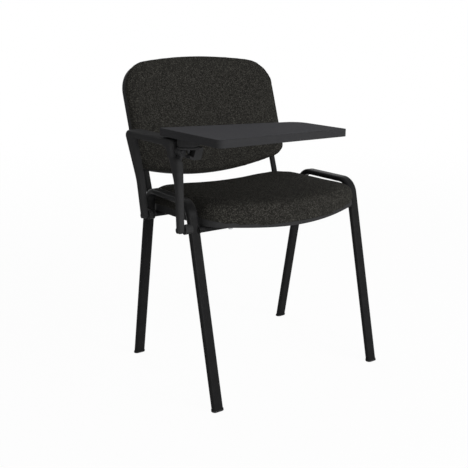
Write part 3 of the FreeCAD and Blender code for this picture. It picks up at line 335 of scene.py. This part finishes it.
@dataclass(frozen=True)
class Relief:
    """Bump of a finish: its depth in metres and how far it counts."""

    depth: float
    strength: float

    def of(self, graph: ShaderGraph, height: Wire) -> Wire:
        """The surface direction for a height from 0 to 1."""
        return graph.bump(height, self.depth, self.strength)


@dataclass(frozen=True)
class PowderCoat:
    """Semi-matte black powder coat on the steel tube, with its faint orange peel."""

    name: str = "powder_coat"
    colour: Colour = (0.0104, 0.0104, 0.0107)
    light: Colour = (0.0126, 0.0126, 0.0129)
    peel: Cloud = Cloud(950.0, 1.0)
    patches: Cloud = Cloud(45.0, 3.0)
    patch_step: Step = Step(0.3, 0.75)
    relief: Relief = Relief(0.00012, 0.35)
    least_rough: float = 0.27
    rough_by_patch: float = 0.1
    rough_by_peel: float = 0.04
    gloss_level: float = 0.03

    def material(self) -> bpy.types.Material:
        """Makes the finish.

        Returns:
            The finish as a material.
        """
        graph, made = ShaderGraph.for_material(self.name)
        point = graph.object_point()
        peel = self.peel.on(graph, point)
        patch = self.patches.on(graph, point)
        graph.surface(
            base_color=graph.mixed(self.patch_step.of(patch), self.colour, self.light),
            roughness=self.least_rough + self.rough_by_patch * patch + self.rough_by_peel * peel,
            normal=self.relief.of(graph, peel),
            ior_level=self.gloss_level,
        )
        return made


@dataclass(frozen=True)
class MouldedPlastic:
    """Black moulding with a fine spark-eroded grain."""

    name: str = "moulded_plastic"
    colour: Colour = (0.0285, 0.0285, 0.029)
    light: Colour = (0.0314, 0.0314, 0.032)
    grain: float = 1500.0
    fine_times: float = 2.0
    fine_detail: float = 1.0
    fine_height: float = 0.5
    patches: Cloud = Cloud(60.0, 3.0)
    patch_step: Step = Step(0.25, 0.8)
    relief: Relief = Relief(0.00012, 0.3)
    least_rough: float = 0.49
    rough_by_patch: float = 0.06
    rough_by_grain: float = 0.06
    gloss_level: float = 0.007

    def material(self) -> bpy.types.Material:
        """Makes the finish.

        Returns:
            The finish as a material.
        """
        graph, made = ShaderGraph.for_material(self.name)
        point = graph.object_point()
        grain = graph.cells(point, self.grain)
        patch = self.patches.on(graph, point)
        fine = graph.noise(point, self.fine_times * self.grain, self.fine_detail)
        graph.surface(
            base_color=graph.mixed(self.patch_step.of(patch), self.colour, self.light),
            roughness=self.least_rough + self.rough_by_patch * patch + self.rough_by_grain * grain,
            normal=self.relief.of(graph, grain + self.fine_height * fine),
            ior_level=self.gloss_level,
        )
        return made


class Lie(Enum):
    """How the cloth lies on its pad."""

    FLAT = "flat"
    LEANING = "leaning"


@dataclass(frozen=True)
class MelangeCloth:
    """Charcoal plain weave of mixed yarn, with pale flecks."""

    name: str
    lie: Lie
    lean: float = 0.33
    thread: float = 0.0015
    dark: Colour = (0.0105, 0.0101, 0.0091)
    yarn: Colour = (0.0262, 0.0253, 0.0226)
    fleck: Colour = (0.082, 0.079, 0.069)
    mottle: Cloud = Cloud(430.0, 2.0)
    mottle_step: Step = Step(0.32, 0.7)
    patches: Cloud = Cloud(38.0, 3.0)
    flecks: float = 720.0
    fleck_share: float = 0.64
    fleck_step: Step = Step(1.0, 1.2)
    fleck_by_mottle: float = 0.4
    fleck_by_patch: float = 0.2
    hollow_shade: float = 0.35
    weave_height: float = 0.65
    mottle_height: float = 0.5
    relief: Relief = Relief(0.0006, 0.55)
    least_rough: float = 0.84
    rough_by_mottle: float = 0.12
    gloss_level: float = 0.02

    def _across_and_along(self, graph: ShaderGraph) -> tuple[Wire, Wire]:
        """The cloth's two directions, which also run down over the pad's edges.

        Args:
            graph: the finish's graph.

        Returns:
            The way across the cloth and the way along it, in metres.
        """
        x, y, z = graph.place()
        if self.lie is Lie.FLAT:
            return abs(x) - z, y + z
        behind = y - self.lean * z
        return abs(x) + behind, z - behind

    def _weave(self, graph: ShaderGraph) -> Wire:
        """Height of the threads, which pass over and under each other.

        Args:
            graph: the finish's graph.

        Returns:
            The height, from 0 between the threads to 1 on top of them.
        """
        across, along = self._across_and_along(graph)
        turns = math.pi / self.thread
        warp = (across * turns).sine()
        weft = (along * turns).sine()
        over = (warp * weft) > 0.0
        return abs(warp) * over + abs(weft) * (1.0 - over)

    def material(self) -> bpy.types.Material:
        """Makes the finish.

        Returns:
            The finish as a material.
        """
        graph, made = ShaderGraph.for_material(self.name)
        weave = self._weave(graph)
        point = graph.object_point()
        mottle = self.mottle.on(graph, point)
        patch = self.patches.on(graph, point)
        flecks = graph.add("ShaderNodeSeparateColor", values={0: graph.cells(point, self.flecks, "Color")})
        chance = flecks + self.fleck_by_mottle * mottle + self.fleck_by_patch * patch
        yarn = graph.mixed(self.mottle_step.of(mottle), self.dark, self.yarn)
        shaded = graph.mixed(self.hollow_shade * (1.0 - weave), yarn, self.dark)
        graph.surface(
            base_color=graph.mixed(self.fleck_share * self.fleck_step.of(chance), shaded, self.fleck),
            roughness=self.least_rough + self.rough_by_mottle * mottle,
            normal=self.relief.of(graph, self.weave_height * weave + self.mottle_height * mottle),
            ior_level=self.gloss_level,
        )
        return made


@dataclass(frozen=True)
class Laminate:
    """Charcoal melamine with a faint pearl texture."""

    name: str = "laminate"
    colour: Colour = (0.0335, 0.0335, 0.037)
    light: Colour = (0.039, 0.039, 0.043)
    pearl: Cloud = Cloud(900.0, 2.0)
    pearl_step: Step = Step(0.3, 0.75)
    pearl_share: float = 0.6
    patches: Cloud = Cloud(14.0, 3.0)
    patch_share: float = 0.4
    relief: Relief = Relief(0.00006, 0.3)
    least_rough: float = 0.6
    rough_by_pearl: float = 0.1
    rough_by_patch: float = 0.05
    gloss_level: float = 0.015

    def material(self) -> bpy.types.Material:
        """Makes the finish.

        Returns:
            The finish as a material.
        """
        graph, made = ShaderGraph.for_material(self.name)
        point = graph.object_point()
        pearl = self.pearl.on(graph, point)
        patch = self.patches.on(graph, point)
        share = self.pearl_share * self.pearl_step.of(pearl) + self.patch_share * patch
        graph.surface(
            base_color=graph.mixed(share, self.colour, self.light),
            roughness=self.least_rough + self.rough_by_pearl * pearl + self.rough_by_patch * patch,
            normal=self.relief.of(graph, pearl),
            ior_level=self.gloss_level,
        )
        return made


@dataclass(frozen=True)
class Plywood:
    """Plain bent plywood, with its plies on the edges and grain along its length."""

    name: str = "plywood"
    pale: Colour = (0.5, 0.36, 0.21)
    brown: Colour = (0.34, 0.21, 0.11)
    grain_along: float = 12.0
    grain_across: float = 160.0
    grain: Cloud = Cloud(1.0, 5.0)
    grain_step: Step = Step(0.3, 0.7)
    grain_share: float = 0.7
    ply: float = 0.003
    ply_share: float = 0.2
    relief: Relief = Relief(0.0003, 0.3)
    least_rough: float = 0.62
    rough_by_grain: float = 0.15

    def material(self) -> bpy.types.Material:
        """Makes the finish.

        Returns:
            The finish as a material.
        """
        graph, made = ShaderGraph.for_material(self.name)
        x, y, z = graph.place()
        drawn = graph.joined(x * self.grain_along, y * self.grain_across, z * self.grain_across)
        grain = self.grain.on(graph, drawn)
        plies = 0.5 + 0.5 * (z * (2.0 * math.pi / self.ply)).sine()
        share = self.grain_share * self.grain_step.of(grain) + self.ply_share * plies
        graph.surface(
            base_color=graph.mixed(share, self.pale, self.brown),
            roughness=self.least_rough + self.rough_by_grain * grain,
            normal=self.relief.of(graph, grain),
        )
        return made


@dataclass(frozen=True)
class FastenerSteel:
    """Steel of the fasteners, zinc-plated as it stands, with turning marks and a dull bloom."""

    name: str = "zinc_steel"
    colour: Colour = (0.46, 0.47, 0.48)
    bloomed: Colour = (0.32, 0.32, 0.33)
    bloom: Cloud = Cloud(220.0, 3.0)
    bloom_step: Step = Step(0.35, 0.7)
    marks: Cloud = Cloud(3200.0, 1.0)
    relief: Relief = Relief(0.00005, 0.3)
    least_rough: float = 0.3
    rough_by_bloom: float = 0.18

    def material(self) -> bpy.types.Material:
        """Makes the finish.

        Returns:
            The finish as a material.
        """
        graph, made = ShaderGraph.for_material(self.name)
        point = graph.object_point()
        bloom = self.bloom.on(graph, point)
        marks = self.marks.on(graph, point)
        graph.surface(
            base_color=graph.mixed(self.bloom_step.of(bloom), self.colour, self.bloomed),
            metallic=1.0,
            roughness=self.least_rough + self.rough_by_bloom * bloom,
            normal=self.relief.of(graph, marks),
        )
        return made


EDGE_BAND = Laminate("edge_band", (0.029, 0.029, 0.0305), (0.033, 0.033, 0.0345))
FILLED_NYLON = MouldedPlastic(
    "filled_nylon",
    (0.0355, 0.0355, 0.0365),
    (0.0388, 0.0388, 0.0398),
    grain=2200.0,
)
BLACKENED_STEEL = FastenerSteel(
    "black_steel",
    (0.026, 0.026, 0.027),
    (0.05, 0.05, 0.051),
    bloom=Cloud(300.0, 3.0),
    bloom_step=Step(0.45, 0.75),
    marks=Cloud(2600.0, 1.0),
    least_rough=0.38,
    rough_by_bloom=0.2,
)


def finishes() -> dict[Slot, bpy.types.Material]:
    """Makes one material for each slot that a solid keeps.

    Returns:
        The materials by slot.
    """
    return {
        Slot.FRAME_PAINT: PowderCoat().material(),
        Slot.BLACK_PLASTIC: MouldedPlastic().material(),
        Slot.PLYWOOD: Plywood().material(),
        Slot.LAMINATE: Laminate().material(),
        Slot.EDGE_BAND: EDGE_BAND.material(),
        Slot.STEEL: FastenerSteel().material(),
        Slot.BLACK_STEEL: BLACKENED_STEEL.material(),
        Slot.NYLON: FILLED_NYLON.material(),
    }


# Mesh helpers


def merged_copy(source: bpy.types.Object, name: str) -> bpy.types.Object:
    """Copies a solid's loose triangles into a joined mesh.

    Args:
        source: the solid's object.
        name: the new object's name.

    Returns:
        The new object, linked to the scene.
    """
    work = bmesh.new()
    work.from_mesh(source.data)
    bmesh.ops.remove_doubles(work, verts=work.verts, dist=MERGE_DISTANCE)
    mesh = bpy.data.meshes.new(name)
    work.to_mesh(mesh)
    work.free()
    made = bpy.data.objects.new(name, mesh)
    bpy.context.scene.collection.objects.link(made)
    return made


def applied(piece: bpy.types.Object) -> None:
    """Puts a piece's modifiers into its mesh and removes them.

    Args:
        piece: the piece, which gets a new mesh.
    """
    graph = bpy.context.evaluated_depsgraph_get()
    graph.update()
    mesh = bpy.data.meshes.new_from_object(piece.evaluated_get(graph))
    piece.modifiers.clear()
    old = piece.data
    piece.data = mesh
    bpy.data.meshes.remove(old)


def rows_of(items: bpy.types.bpy_prop_collection, attribute: str) -> np.ndarray:
    """Reads one vector of each item.

    Args:
        items: the items of a mesh.
        attribute: the vector's name.

    Returns:
        Rows of three numbers.
    """
    flat = np.zeros(len(items) * 3, np.float32)
    items.foreach_get(attribute, flat)
    return flat.reshape(-1, 3).astype(float)


def points_of(mesh: bpy.types.Mesh) -> np.ndarray:
    """The mesh's points as rows of three numbers."""
    return rows_of(mesh.vertices, "co")


def normals_of(mesh: bpy.types.Mesh) -> np.ndarray:
    """The mesh's point normals as rows of three numbers."""
    return rows_of(mesh.vertex_normals, "vector")


def move_points(mesh: bpy.types.Mesh, points: np.ndarray) -> None:
    """Puts the mesh's points at the given places."""
    mesh.vertices.foreach_set("co", points.astype(np.float32).ravel())
    mesh.update()


def share_of(values: np.ndarray) -> np.ndarray:
    """The values as shares, cut off at 0 and 1."""
    return np.clip(values, 0.0, 1.0)


def weighted_group(piece: bpy.types.Object, name: str, weights: np.ndarray) -> bpy.types.VertexGroup:
    """Makes a vertex group from a weight for each point.

    Args:
        piece: the piece that gets the group.
        name: the group's name.
        weights: the weights, from 0 to 1. A point with hardly any is left out.

    Returns:
        The group.
    """
    group = piece.vertex_groups.new(name=name)
    for index in np.flatnonzero(weights > LEAST_WEIGHT):
        group.add([int(index)], float(weights[index]), "REPLACE")
    return group


def surface_of(solid: bpy.types.Object) -> BVHTree:
    """A solid's surface, to measure distances from."""
    points = [vertex.co.copy() for vertex in solid.data.vertices]
    return BVHTree.FromPolygons(points, [tuple(polygon.vertices) for polygon in solid.data.polygons])


# Pads


@dataclass(frozen=True)
class Fall:
    """How a pad's top falls towards its two sides, most of all at the front."""

    drop: float = 0.011
    inner: float = 0.13
    outer: float = 0.236
    front: float = -0.12
    rear: float = 0.12
    rear_share: float = 0.45
    middle: float = 0.01465
    up_gain: float = 1.6
    up_start: float = 0.1

    def lowered(self, points: np.ndarray, normals: np.ndarray) -> np.ndarray:
        """The points with the fall put in.

        Args:
            points: the pad's points.
            normals: which way each of them faces.

        Returns:
            The lowered points.
        """
        side = share_of((np.abs(points[:, 0] - self.middle) - self.inner) / (self.outer - self.inner))
        ahead = share_of((self.rear - points[:, 1]) / (self.rear - self.front))
        share = self.rear_share + (1.0 - self.rear_share) * ahead * ahead * (3.0 - 2.0 * ahead)
        up = share_of(self.up_gain * normals[:, 2] + self.up_start)
        made = points.copy()
        made[:, 2] -= self.drop * side * side * share * up
        return made


@dataclass(frozen=True)
class ClothRun:
    """One run of the cloth simulation, with air pressure inside the pad and no weight."""

    pressure: float = 4.0
    frames: int = 20
    quality: int = 5
    mass: float = 0.3
    stretch: float = 12.0
    bend: float = 0.8

    def play(self, piece: bpy.types.Object, held: bpy.types.VertexGroup) -> None:
        """Lets the cloth settle, and keeps the shape in which it ends.

        Args:
            piece: the pad, evenly meshed.
            held: the points that stay, by how far they do.
        """
        cloth = piece.modifiers.new("swell", "CLOTH")
        settings = cloth.settings
        settings.quality = self.quality
        settings.mass = self.mass
        settings.tension_stiffness = self.stretch
        settings.compression_stiffness = self.stretch
        settings.bending_stiffness = self.bend
        settings.use_pressure = True
        settings.uniform_pressure_force = self.pressure
        settings.vertex_group_mass = held.name
        settings.effector_weights.gravity = 0.0
        cloth.collision_settings.use_collision = False
        cloth.point_cache.frame_end = self.frames
        scene = bpy.context.scene
        for frame in range(1, self.frames + 1):
            scene.frame_set(frame)
        applied(piece)
        scene.frame_set(1)


@dataclass
class Pad:
    """A foam pad in stretched cloth, made from its solid by a cloth simulation and then filled out."""

    node: str
    name: str
    cloth: MelangeCloth
    shell: str
    held_side: Vector
    held_above: float = 0.35
    held_fade: float = 0.3
    tuck: float = 0.009
    tuck_start: float = 0.2
    lap: float = 0.0035
    lap_reach: float = 0.007
    voxel: float = 0.005
    slack: float = 0.0022
    run: ClothRun = ClothRun()
    most_moved: float = 0.0042
    soften: int = 0
    soften_factor: float = 0.5
    plump: float = 0.005
    plump_level: float = 0.6
    fall: Fall | None = None
    finer_levels: int = 1
    fill: float = 0.8

    def build(self, nodes: dict[str, bpy.types.Object]) -> bpy.types.Object:
        """Makes the pad.

        Args:
            nodes: the solids by name.

        Returns:
            The finished pad, riding on the frame.
        """
        piece = merged_copy(nodes[self.node], self.name)
        self._even_out(piece)
        gap = self._gap(piece.data, nodes[self.shell])
        free = self._free_share(piece.data, gap)
        self._draw_in(piece.data, gap, free)
        self._settle(piece, free)
        if self.soften:
            self._soften(piece, free)
        self._stand_out(piece.data, free)
        if self.fall is not None:
            move_points(piece.data, self.fall.lowered(points_of(piece.data), normals_of(piece.data)))
        self._refine(piece)
        piece.data.materials.clear()
        piece.data.materials.append(self.cloth.material())
        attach(piece, Body.FRAME.value)
        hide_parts(self.node)
        return piece

    def _even_out(self, piece: bpy.types.Object) -> None:
        """Gives the pad an even mesh.

        Args:
            piece: the copy of the pad's solid.
        """
        remesh = piece.modifiers.new("even", "REMESH")
        remesh.mode = "VOXEL"
        remesh.voxel_size = self.voxel
        applied(piece)

    @staticmethod
    def _gap(mesh: bpy.types.Mesh, shell: bpy.types.Object) -> np.ndarray:
        """How far each point is from the shell that the cloth is tucked into."""
        shape = surface_of(shell)
        return np.array([shape.find_nearest(vertex.co)[3] for vertex in mesh.vertices])

    def _free_share(self, mesh: bpy.types.Mesh, gap: np.ndarray) -> np.ndarray:
        """How free each point is.

        Args:
            mesh: the pad, evenly meshed.
            gap: how far each point is from the shell.

        Returns:
            Zero where the pad rests on its board or is tucked into the shell, and one well away.
        """
        facing = normals_of(mesh) @ np.array(self.held_side.normalized())
        tucked = share_of((gap - self.tuck_start * self.tuck) / self.tuck)
        return share_of((self.held_above - facing) / self.held_fade) * tucked

    def _draw_in(self, mesh: bpy.types.Mesh, gap: np.ndarray, free: np.ndarray) -> None:
        """Laps the cloth over the shell's rim, and makes the free part a little smaller.

        Args:
            mesh: the pad, evenly meshed.
            gap: how far each point is from the shell.
            free: how free each point is.
        """
        lapped = share_of(1.0 - gap / self.lap_reach) * self.lap
        start = points_of(mesh) + np.outer(lapped, self.held_side.normalized())
        move_points(mesh, start - normals_of(mesh) * (self.slack * free)[:, None])

    def _settle(self, piece: bpy.types.Object, free: np.ndarray) -> None:
        """Runs the cloth simulation, and limits how far each point goes.

        Args:
            piece: the pad, evenly meshed.
            free: how free each point is.
        """
        before = points_of(piece.data)
        self.run.play(piece, weighted_group(piece, "held", 1.0 - free))
        moved = points_of(piece.data) - before
        length = np.linalg.norm(moved, axis=1)
        limit = self.most_moved * np.tanh(length / self.most_moved)
        move_points(piece.data, before + moved * (limit / np.maximum(length, LEAST_LENGTH))[:, None])
        piece.vertex_groups.clear()
        LOG.info("%s: its cloth moved by %.1f mm at most", self.name, MM_PER_METRE * limit.max())

    def _soften(self, piece: bpy.types.Object, free: np.ndarray) -> None:
        """Rounds the pad's edges over, except where it is held.

        Args:
            piece: the pad, evenly meshed.
            free: how free each point is.
        """
        group = weighted_group(piece, "free", free)
        smooth = piece.modifiers.new("soften", "SMOOTH")
        smooth.factor = self.soften_factor
        smooth.iterations = self.soften
        smooth.vertex_group = group.name
        applied(piece)
        piece.vertex_groups.clear()

    def _stand_out(self, mesh: bpy.types.Mesh, free: np.ndarray) -> None:
        """Lets the foam fill the cloth again, most of all where it faces up.

        Args:
            mesh: the pad, evenly meshed.
            free: how free each point is.
        """
        normals = normals_of(mesh)
        share = free * share_of(normals[:, 2] + self.plump_level)
        move_points(mesh, points_of(mesh) + normals * (self.plump * share)[:, None])

    def _refine(self, piece: bpy.types.Object) -> None:
        """Divides the pad's mesh once more and smooths its shading.

        Args:
            piece: the pad in its last shape.
        """
        finer = piece.modifiers.new("finer", "SUBSURF")
        finer.levels = self.finer_levels
        finer.render_levels = self.finer_levels
        applied(piece)
        piece.data.shade_smooth()


# Welds


@dataclass
class WeldTree:
    """Geometry nodes that lay a weld's ripples along a path."""

    name: str = "weld_bead"
    segments: int = 8
    rings: int = 5

    def build(self) -> bpy.types.NodeTree:
        """Makes the tree.

        Returns:
            The node tree, with named inputs for the sizes.
        """
        tree = bpy.data.node_groups.new(self.name, "GeometryNodeTree")
        face = tree.interface
        face.new_socket("Path", in_out="INPUT", socket_type="NodeSocketGeometry")
        for label in ("Bead Radius", "Ripple Pitch", "Unevenness"):
            face.new_socket(label, in_out="INPUT", socket_type="NodeSocketFloat")
        face.new_socket("Seed", in_out="INPUT", socket_type="NodeSocketInt")
        face.new_socket("Finish", in_out="INPUT", socket_type="NodeSocketMaterial")
        face.new_socket("Bead", in_out="OUTPUT", socket_type="NodeSocketGeometry")
        source = tree.nodes.new("NodeGroupInput").outputs
        curve = tree.nodes.new("GeometryNodeMeshToCurve")
        spaced = tree.nodes.new("GeometryNodeResampleCurve")
        spaced.mode = "LENGTH"
        ripple = tree.nodes.new("GeometryNodeMeshUVSphere")
        ripple.inputs["Segments"].default_value = self.segments
        ripple.inputs["Rings"].default_value = self.rings
        chance = tree.nodes.new("FunctionNodeRandomValue")
        chance.data_type = "FLOAT"
        least = tree.nodes.new("ShaderNodeMath")
        least.operation = "SUBTRACT"
        least.inputs[0].default_value = 1.0
        most = tree.nodes.new("ShaderNodeMath")
        most.operation = "ADD"
        most.inputs[0].default_value = 1.0
        placed = tree.nodes.new("GeometryNodeInstanceOnPoints")
        real = tree.nodes.new("GeometryNodeRealizeInstances")
        smooth = tree.nodes.new("GeometryNodeSetShadeSmooth")
        dressed = tree.nodes.new("GeometryNodeSetMaterial")
        target = tree.nodes.new("NodeGroupOutput").inputs
        chance_in = {socket.identifier: socket for socket in chance.inputs}
        chance_out = {socket.identifier: socket for socket in chance.outputs}
        links = [
            (source["Path"], curve.inputs[0]),
            (curve.outputs[0], spaced.inputs["Curve"]),
            (source["Ripple Pitch"], spaced.inputs["Length"]),
            (source["Bead Radius"], ripple.inputs["Radius"]),
            (source["Unevenness"], least.inputs[1]),
            (source["Unevenness"], most.inputs[1]),
            (least.outputs[0], chance_in["Min_001"]),
            (most.outputs[0], chance_in["Max_001"]),
            (source["Seed"], chance_in["Seed"]),
            (spaced.outputs[0], placed.inputs["Points"]),
            (ripple.outputs[0], placed.inputs["Instance"]),
            (chance_out["Value_001"], placed.inputs["Scale"]),
            (placed.outputs[0], real.inputs[0]),
            (real.outputs[0], smooth.inputs[0]),
            (smooth.outputs[0], dressed.inputs["Geometry"]),
            (source["Finish"], dressed.inputs["Material"]),
            (dressed.outputs[0], target["Bead"]),
        ]
        for start, end in links:
            tree.links.new(start, end)
        return tree


@dataclass
class Welds:
    """Weld beads where the crossbars meet the side frames and the uprights meet the rear bar."""

    bead_radius: float = 0.0019
    ripple_pitch: float = 0.0013
    unevenness: float = 0.12
    seed: int = 7
    touch: float = 0.0004
    steps: int = 48
    joints: list[tuple[str, str]] = field(
        default_factory=lambda: [
            ("front_crossbar", "side_frame_right"),
            ("front_crossbar", "side_frame_left"),
            ("rear_crossbar", "side_frame_right"),
            ("rear_crossbar", "side_frame_left"),
            ("back_upright_right", "rear_crossbar"),
            ("back_upright_left", "rear_crossbar"),
        ]
    )

    def build(self, nodes: dict[str, bpy.types.Object], finish: bpy.types.Material) -> bpy.types.Object:
        """Lays every bead as one piece.

        Args:
            nodes: the solids by name.
            finish: the paint over the welds.

        Returns:
            The beads, riding on the frame.
        """
        points = []
        edges = []
        for bar, carrier in self.joints:
            loop = self._loop(nodes[bar], nodes[carrier])
            first = len(points)
            points += loop
            edges += [(first + place, first + (place + 1) % len(loop)) for place in range(len(loop))]
        mesh = bpy.data.meshes.new("weld_beads")
        mesh.from_pydata(points, edges, [])
        piece = bpy.data.objects.new("weld_beads", mesh)
        bpy.context.scene.collection.objects.link(piece)
        modifier = piece.modifiers.new("beads", "NODES")
        tree = WeldTree().build()
        modifier.node_group = tree
        values = {
            "Bead Radius": self.bead_radius,
            "Ripple Pitch": self.ripple_pitch,
            "Unevenness": self.unevenness,
            "Seed": self.seed,
            "Finish": finish,
        }
        for item in tree.interface.items_tree:
            if item.in_out == "INPUT" and item.name in values:
                modifier[item.identifier] = values[item.name]
        applied(piece)
        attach(piece, Body.FRAME.value)
        return piece

    def _loop(self, bar: bpy.types.Object, carrier: bpy.types.Object) -> list[Vector]:
        """The line where a bar's outside meets what carries it.

        Args:
            bar: the welded bar.
            carrier: the tube that it is welded to.

        Returns:
            Points in order round the bar.
        """
        shape = surface_of(carrier)
        near = []
        for vertex in bar.data.vertices:
            place, _, _, gap = shape.find_nearest(vertex.co)
            if place is not None and gap < self.touch:
                near.append(vertex.co.copy())
        centre = sum(near, Vector()) / len(near)
        spread = np.array([point - centre for point in near])
        axes = np.linalg.svd(spread, full_matrices=False)[2]
        turn = np.arctan2(spread @ axes[1], spread @ axes[0])
        reach = np.hypot(spread @ axes[1], spread @ axes[0])
        loop = []
        for step in range(self.steps):
            middle = -math.pi + (step + 0.5) * 2.0 * math.pi / self.steps
            found = np.flatnonzero(np.abs(turn - middle) <= math.pi / self.steps)
            if len(found):
                loop.append(near[found[np.argmax(reach[found])]])
        return loop


# Studio


@dataclass
class Lamp:
    """A soft square light aimed at the chair."""

    name: str
    place: Place
    size: float
    power: float
    aim: Place = (0.0, 0.0, 0.45)

    def build(self) -> None:
        """Hangs the light."""
        data = bpy.data.lights.new(self.name, "AREA")
        data.shape = "SQUARE"
        data.size = self.size
        data.energy = self.power
        lamp = bpy.data.objects.new(self.name, data)
        lamp.location = self.place
        lamp.rotation_euler = (Vector(self.aim) - Vector(self.place)).to_track_quat("-Z", "Y").to_euler()
        bpy.context.scene.collection.objects.link(lamp)


@dataclass
class Studio:
    """Plain pale floor, soft light and the photograph's viewpoint."""

    eye: Place = (-1.10165, -1.57945, 0.8762)
    turn: tuple[float, float, float] = (74.822, 0.0, -34.021)
    lens: float = 56.36
    sensor: float = 36.0
    floor_half: float = 14.0
    floor_colour: Colour = (0.86, 0.86, 0.86)
    floor_plain: float = 0.955
    plain_from: float = 0.9
    all_white_at: float = 4.5
    sky: float = 0.34
    lamps: list[Lamp] = field(
        default_factory=lambda: [
            Lamp("key", (1.6, -3.2, 2.0), 2.0, 72.0),
            Lamp("low_front", (-0.4, -3.5, 0.9), 1.4, 50.0),
            Lamp("rear", (0.6, 3.0, 2.4), 2.4, 30.0),
            Lamp("glint", (-1.2, -2.6, 2.9), 0.3, 6.0),
        ]
    )

    def build(self) -> None:
        """Sets up the view, the light and the floor."""
        scene = bpy.context.scene
        scene.view_settings.view_transform = "Standard"
        self._camera(scene)
        self._sky(scene)
        self._floor(scene)
        for lamp in self.lamps:
            lamp.build()

    def _camera(self, scene: bpy.types.Scene) -> None:
        """Puts the camera where the photograph was taken.

        Args:
            scene: the scene that looks through it.
        """
        data = bpy.data.cameras.new("camera")
        data.lens = self.lens
        data.sensor_width = self.sensor
        camera = bpy.data.objects.new("camera", data)
        camera.location = self.eye
        camera.rotation_euler = [math.radians(angle) for angle in self.turn]
        scene.collection.objects.link(camera)
        scene.camera = camera

    @staticmethod
    def _seen(graph: ShaderGraph) -> Wire:
        """Tells rays that show the background from rays that carry light to the chair.

        Args:
            graph: the graph of the floor or of the sky.

        Returns:
            One for a ray from the camera, a reflection or glass, and zero for any other.
        """
        path = graph.add("ShaderNodeLightPath").socket.node.outputs
        direct = Wire(graph, path["Is Camera Ray"]) + Wire(graph, path["Is Glossy Ray"])
        every = direct + Wire(graph, path["Is Transmission Ray"])
        return every > 0.5

    def _sky(self, scene: bpy.types.Scene) -> None:
        """Makes white behind the chair, and an even soft light from all round.

        Args:
            scene: the scene that it lights.
        """
        world = bpy.data.worlds.new("studio")
        world.use_nodes = True
        scene.world = world
        graph = ShaderGraph(world.node_tree)
        light = graph.add("ShaderNodeBackground", values={0: WHITE, 1: self.sky})
        white = graph.add("ShaderNodeBackground", values={0: WHITE, 1: 1.0})
        both = graph.add("ShaderNodeMixShader", values={0: self._seen(graph), 1: light, 2: white})
        graph.add("ShaderNodeOutputWorld", values={"Surface": both})

    def _floor(self, scene: bpy.types.Scene) -> None:
        """Lays the floor, which looks white and keeps a faint shadow.

        Args:
            scene: the scene that gets it.
        """
        half = self.floor_half
        mesh = bpy.data.meshes.new("floor")
        square = [(-half, -half, 0.0), (half, -half, 0.0), (half, half, 0.0), (-half, half, 0.0)]
        mesh.from_pydata(square, [], [(0, 1, 2, 3)])
        graph, made = ShaderGraph.for_material("pale_floor")
        matt = graph.add("ShaderNodeBsdfDiffuse", values={0: (*self.floor_colour, 1.0)})
        white = graph.add("ShaderNodeEmission", values={0: WHITE, 1: 1.0})
        point = graph.object_point()
        far = graph.add("ShaderNodeVectorMath", {"operation": "LENGTH"}, {0: point}, "Value")
        whiter = far.between(self.plain_from, self.all_white_at)
        plain = self.floor_plain + (1.0 - self.floor_plain) * whiter
        share = self._seen(graph) * plain
        both = graph.add("ShaderNodeMixShader", values={0: share, 1: matt, 2: white})
        graph.add("ShaderNodeOutputMaterial", values={"Surface": both})
        mesh.materials.append(made)
        floor = bpy.data.objects.new("floor", mesh)
        scene.collection.objects.link(floor)


# Chair


@dataclass
class Chair:
    """The whole chair: finishes on its solids, its two pads and its welds."""

    frame: dict
    pads: list[Pad] = field(
        default_factory=lambda: [
            Pad(
                "seat_cushion",
                "seat_pad",
                MelangeCloth("seat_cloth", Lie.FLAT),
                "seat_shell",
                Vector((0.0, 0.0, -1.0)),
                plump=0.003,
                fall=Fall(),
                soften=30,
            ),
            Pad(
                "back_cushion",
                "back_pad",
                MelangeCloth("back_cloth", Lie.LEANING),
                "back_shell",
                Vector((0.0, 0.95, -0.31)),
                voxel=0.0045,
            ),
        ]
    )
    welds: Welds = field(default_factory=Welds)

    def build(self) -> None:
        """Dresses the solids and adds the pads and the welds."""
        nodes = self.frame["nodes"]
        materials = finishes()
        for entry in self.frame["record"]["subparts"]:
            slot = Slot(entry["material_slot"])
            if slot in materials:
                self._dress(nodes[entry["node"]], materials[slot])
        for pad in self.pads:
            made = pad.build(nodes)
            LOG.info("%s: %d faces", made.name, len(made.data.polygons))
        beads = self.welds.build(nodes, materials[Slot.FRAME_PAINT])
        LOG.info("%s: %d faces", beads.name, len(beads.data.polygons))

    @staticmethod
    def _dress(piece: bpy.types.Object, material: bpy.types.Material) -> None:
        """Gives a solid its finish.

        Args:
            piece: the solid's object.
            material: its finish.
        """
        piece.data.materials.clear()
        piece.data.materials.append(material)
        LOG.info("%s wears %s", piece.name, material.name)


def main() -> None:
    """Builds the chair and its studio."""
    logging.basicConfig(level=logging.INFO, format="%(name)s: %(message)s")
    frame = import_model()
    Studio().build()
    Chair(frame).build()


if __name__ == "__main__":
    main()
